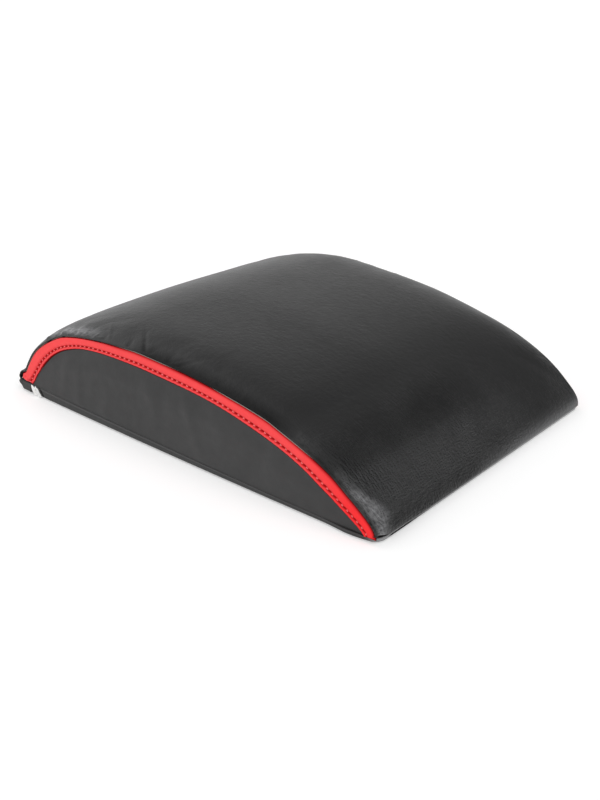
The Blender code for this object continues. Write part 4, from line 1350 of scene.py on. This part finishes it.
label = {
    "fromBack": 0.0122,
    "width": 0.0102,
    "chord": 0.0073,            # width once curled
    "sag": 0.0024,              # depth of the curl
    "slant": 0.0058,            # how far its foot hangs towards the front
    "sheet": 0.00018,
    "gap": 0.00022,             # between its two layers
    "fromSeam": 0.0008,
    "low": 0.0009,
    "off": 0.0004,
}


def makeLabel():
    # A blank strip folded in half: its middle line runs down, round the fold and up again in front, and a
    # cosine wave across it stands out from the wall at one edge and past the middle
    high, low, apart = seamBack - label["fromSeam"], label["low"], (label["gap"] + label["sheet"]) / 2
    down = np.linspace(high, low, 22)
    turns = np.linspace(0, np.pi, 9)[1:-1]
    z = np.concatenate([down, low - apart * np.sin(turns) * 1.2, down[::-1]])
    depth = np.concatenate([0 * down, apart * (1 - np.cos(turns)), 0 * down + 2 * apart])
    share = np.clip((high - z) / (high - low), 0, 1)
    tangent = unit(np.stack([np.gradient(depth), np.gradient(z)], axis=1))
    width = np.linspace(0, 1, 21)
    edge = label["sheet"] / 2 * np.sqrt(np.clip(1 - (2 * width - 1) ** 10, 0.05, 1))
    across = np.concatenate([width, width[::-1]])
    thick = np.concatenate([edge, -edge[::-1]])
    z, depth, share = z[:, None], depth[:, None], share[:, None]
    wave = (0.5 + 0.5 * np.cos(2 * np.pi * across / 0.74)) * (1 - 0.3 * across)
    out = depth + label["sag"] * (0.35 + 0.65 * share) * wave + thick * tangent[:, 1:2]
    up = z - thick * tangent[:, 0:1]
    x = backFoot + label["fromBack"] + label["slant"] * share ** 1.4 + across * label["chord"]
    run = runLength(z[:, 0], depth[:, 0])
    rings = asPoints(x, -(panelFace + label["off"] + out), up)
    piece = tubePiece("blank_label", rings, asPoints(across * label["width"], run[:, None]))
    dress(piece, labelLook, "label_satin", "care_label")


makeTopCover()
makeFoamPad()
print("cover and foam made")
for side, word in ((-1, "right"), (1, "left")):
    makeSidePanel("vinyl_side_" + word, side, "side_panel_" + word)
    makeTrimBand("red_band_" + word, side, "trim_band_" + word)
    makeRawEdge("seam_backing_" + word, side)
makeBasePanel()
makeHemStitches()
makeLabel()
print("sides, bands, base and label made")
for direction, word in ((1, "upper"), (-1, "lower")):
    makeTape("zip_tape_" + word, direction, "zipper_tape_" + word)
    makeCoil("zip_coil_" + word, direction, "zipper_coil_" + word)
    makeMetal("top_stop_" + word, zipMetal["stops"])
makeMetal("bottom_stop", zipMetal["stops"])
makeMetal("slider", zipMetal["slider"], body="slider")
makeMetal("pull", zipMetal["pull"], body="pull")
print("zip made")

# Floor, light and camera
studio = {
    "floorSize": 30.0,
    "floorDrop": 0.0003,        # below the mat
    "floorShade": 0.80,
    "floorGlow": 0.34,          # a lit table, so the shadows stay pale
    "near": 1.0,                # backdrop on the camera's side
    "horizon": 1.2,             # backdrop on the far side, less its fall with height
    "fall": 1.15,
    "least": 0.35,
    "cards": (
        # Cards and soft boxes: azimuth from +X, elevation, inner and outer radius in degrees, strength
        (82.0, 27.0, 6.0, 34.0, 0.13),
        (54.0, 14.0, 14.0, 32.0, 0.10),
        (5.0, 60.0, 10.0, 24.0, 2.2),
        (180.0, 52.0, 10.0, 24.0, 1.45),
    ),
}
view = {
    "place": (0.7154665, -0.685245, 0.3967457),     # from the back foot, the middle and the floor
    "azimuth": 37.81479,
    "elevation": 24.64412,
    "roll": 2.5,
    "lens": 49.9885,
    "sensor": 36.0,
}


def makeFloor():
    size, shade = studio["floorSize"] / 2, studio["floorShade"]
    drop = studio["floorDrop"]
    corners = [(x * size, y * size, -drop) for x, y in ((-1, -1), (1, -1), (1, 1), (-1, 1))]
    mesh = bpy.data.meshes.new("floor")
    mesh.from_pydata(corners, [], [(0, 1, 2, 3)])
    floor = bpy.data.objects.new("floor", mesh)
    scene.collection.objects.link(floor)
    looks = {"Base_Color": (shade, shade, shade, 1), "Roughness": 0.9, "Emission_Color": (1, 1, 1, 1),
             "Emission_Strength": studio["floorGlow"]}
    mesh.materials.append(newMaterial("floor", **looks)[0])


def makeLight():
    # A backdrop that darkens with height on the far side, with two dark cards and two soft boxes in it
    world = bpy.data.worlds.new("studio")
    world.use_nodes = True
    scene.world = world
    tree = world.node_tree
    backdrop = tree.nodes["Background"]
    where = tree.nodes.new("ShaderNodeTexCoord").outputs["Generated"]
    parts = shaderNode(tree, "SeparateXYZ", Vector=where).outputs
    top = (studio["horizon"] - studio["least"]) / studio["fall"]
    far = remap(tree, parts["Z"], 0.0, top, studio["horizon"], studio["least"])
    side = shaderNode(tree, "MapRange", interpolation_type_="SMOOTHSTEP", Value=parts["Y"],
                      i1=-0.25, i2=0.35, i3=0.0, i4=1.0).outputs[0]
    level = shaderNode(tree, "Mix", data_type_="FLOAT", i0=side, i2=studio["near"], i3=far).outputs[0]
    for azimuth, elevation, inner, outer, strength in studio["cards"]:
        across, up = math.radians(azimuth), math.radians(elevation)
        toward = (math.cos(across) * math.cos(up), math.sin(across) * math.cos(up), math.sin(up))
        aimed = shaderNode(tree, "VectorMath", operation_="DOT_PRODUCT", i0=where, i1=toward)
        limits = (math.cos(math.radians(degrees)) for degrees in (outer, inner))
        share = remap(tree, aimed.outputs["Value"], *limits, 0.0, 1.0)
        level = shaderNode(tree, "Mix", data_type_="FLOAT", i0=share, i2=level, i3=strength).outputs[0]
    tree.links.new(level, backdrop.inputs["Strength"])
    backdrop.inputs["Color"].default_value = (1, 1, 1, 1)
    scene.view_settings.view_transform = "Standard"


def makeCamera():
    # Right, up and back directions from azimuth, elevation and roll
    azimuth, elevation, roll = (math.radians(view[name]) for name in ("azimuth", "elevation", "roll"))
    right = np.array([math.cos(azimuth), math.sin(azimuth), 0])
    back = np.array([math.sin(azimuth) * math.cos(elevation), -math.cos(azimuth) * math.cos(elevation),
                     math.sin(elevation)])
    up = np.cross(back, right)
    rolled = right * math.cos(roll) + up * math.sin(roll)
    turned = Matrix(np.array((rolled, np.cross(back, rolled), back)).T.tolist()).to_4x4()
    camera = bpy.data.objects.new("camera", bpy.data.cameras.new("camera"))
    scene.collection.objects.link(camera)
    place = (backFoot + view["place"][0], view["place"][1], view["place"][2])
    camera.matrix_world = Matrix.Translation(place) @ turned
    camera.data.lens = view["lens"]
    camera.data.sensor_width = view["sensor"]
    scene.camera = camera


makeFloor()
makeLight()
makeCamera()
print("floor, light and camera set")
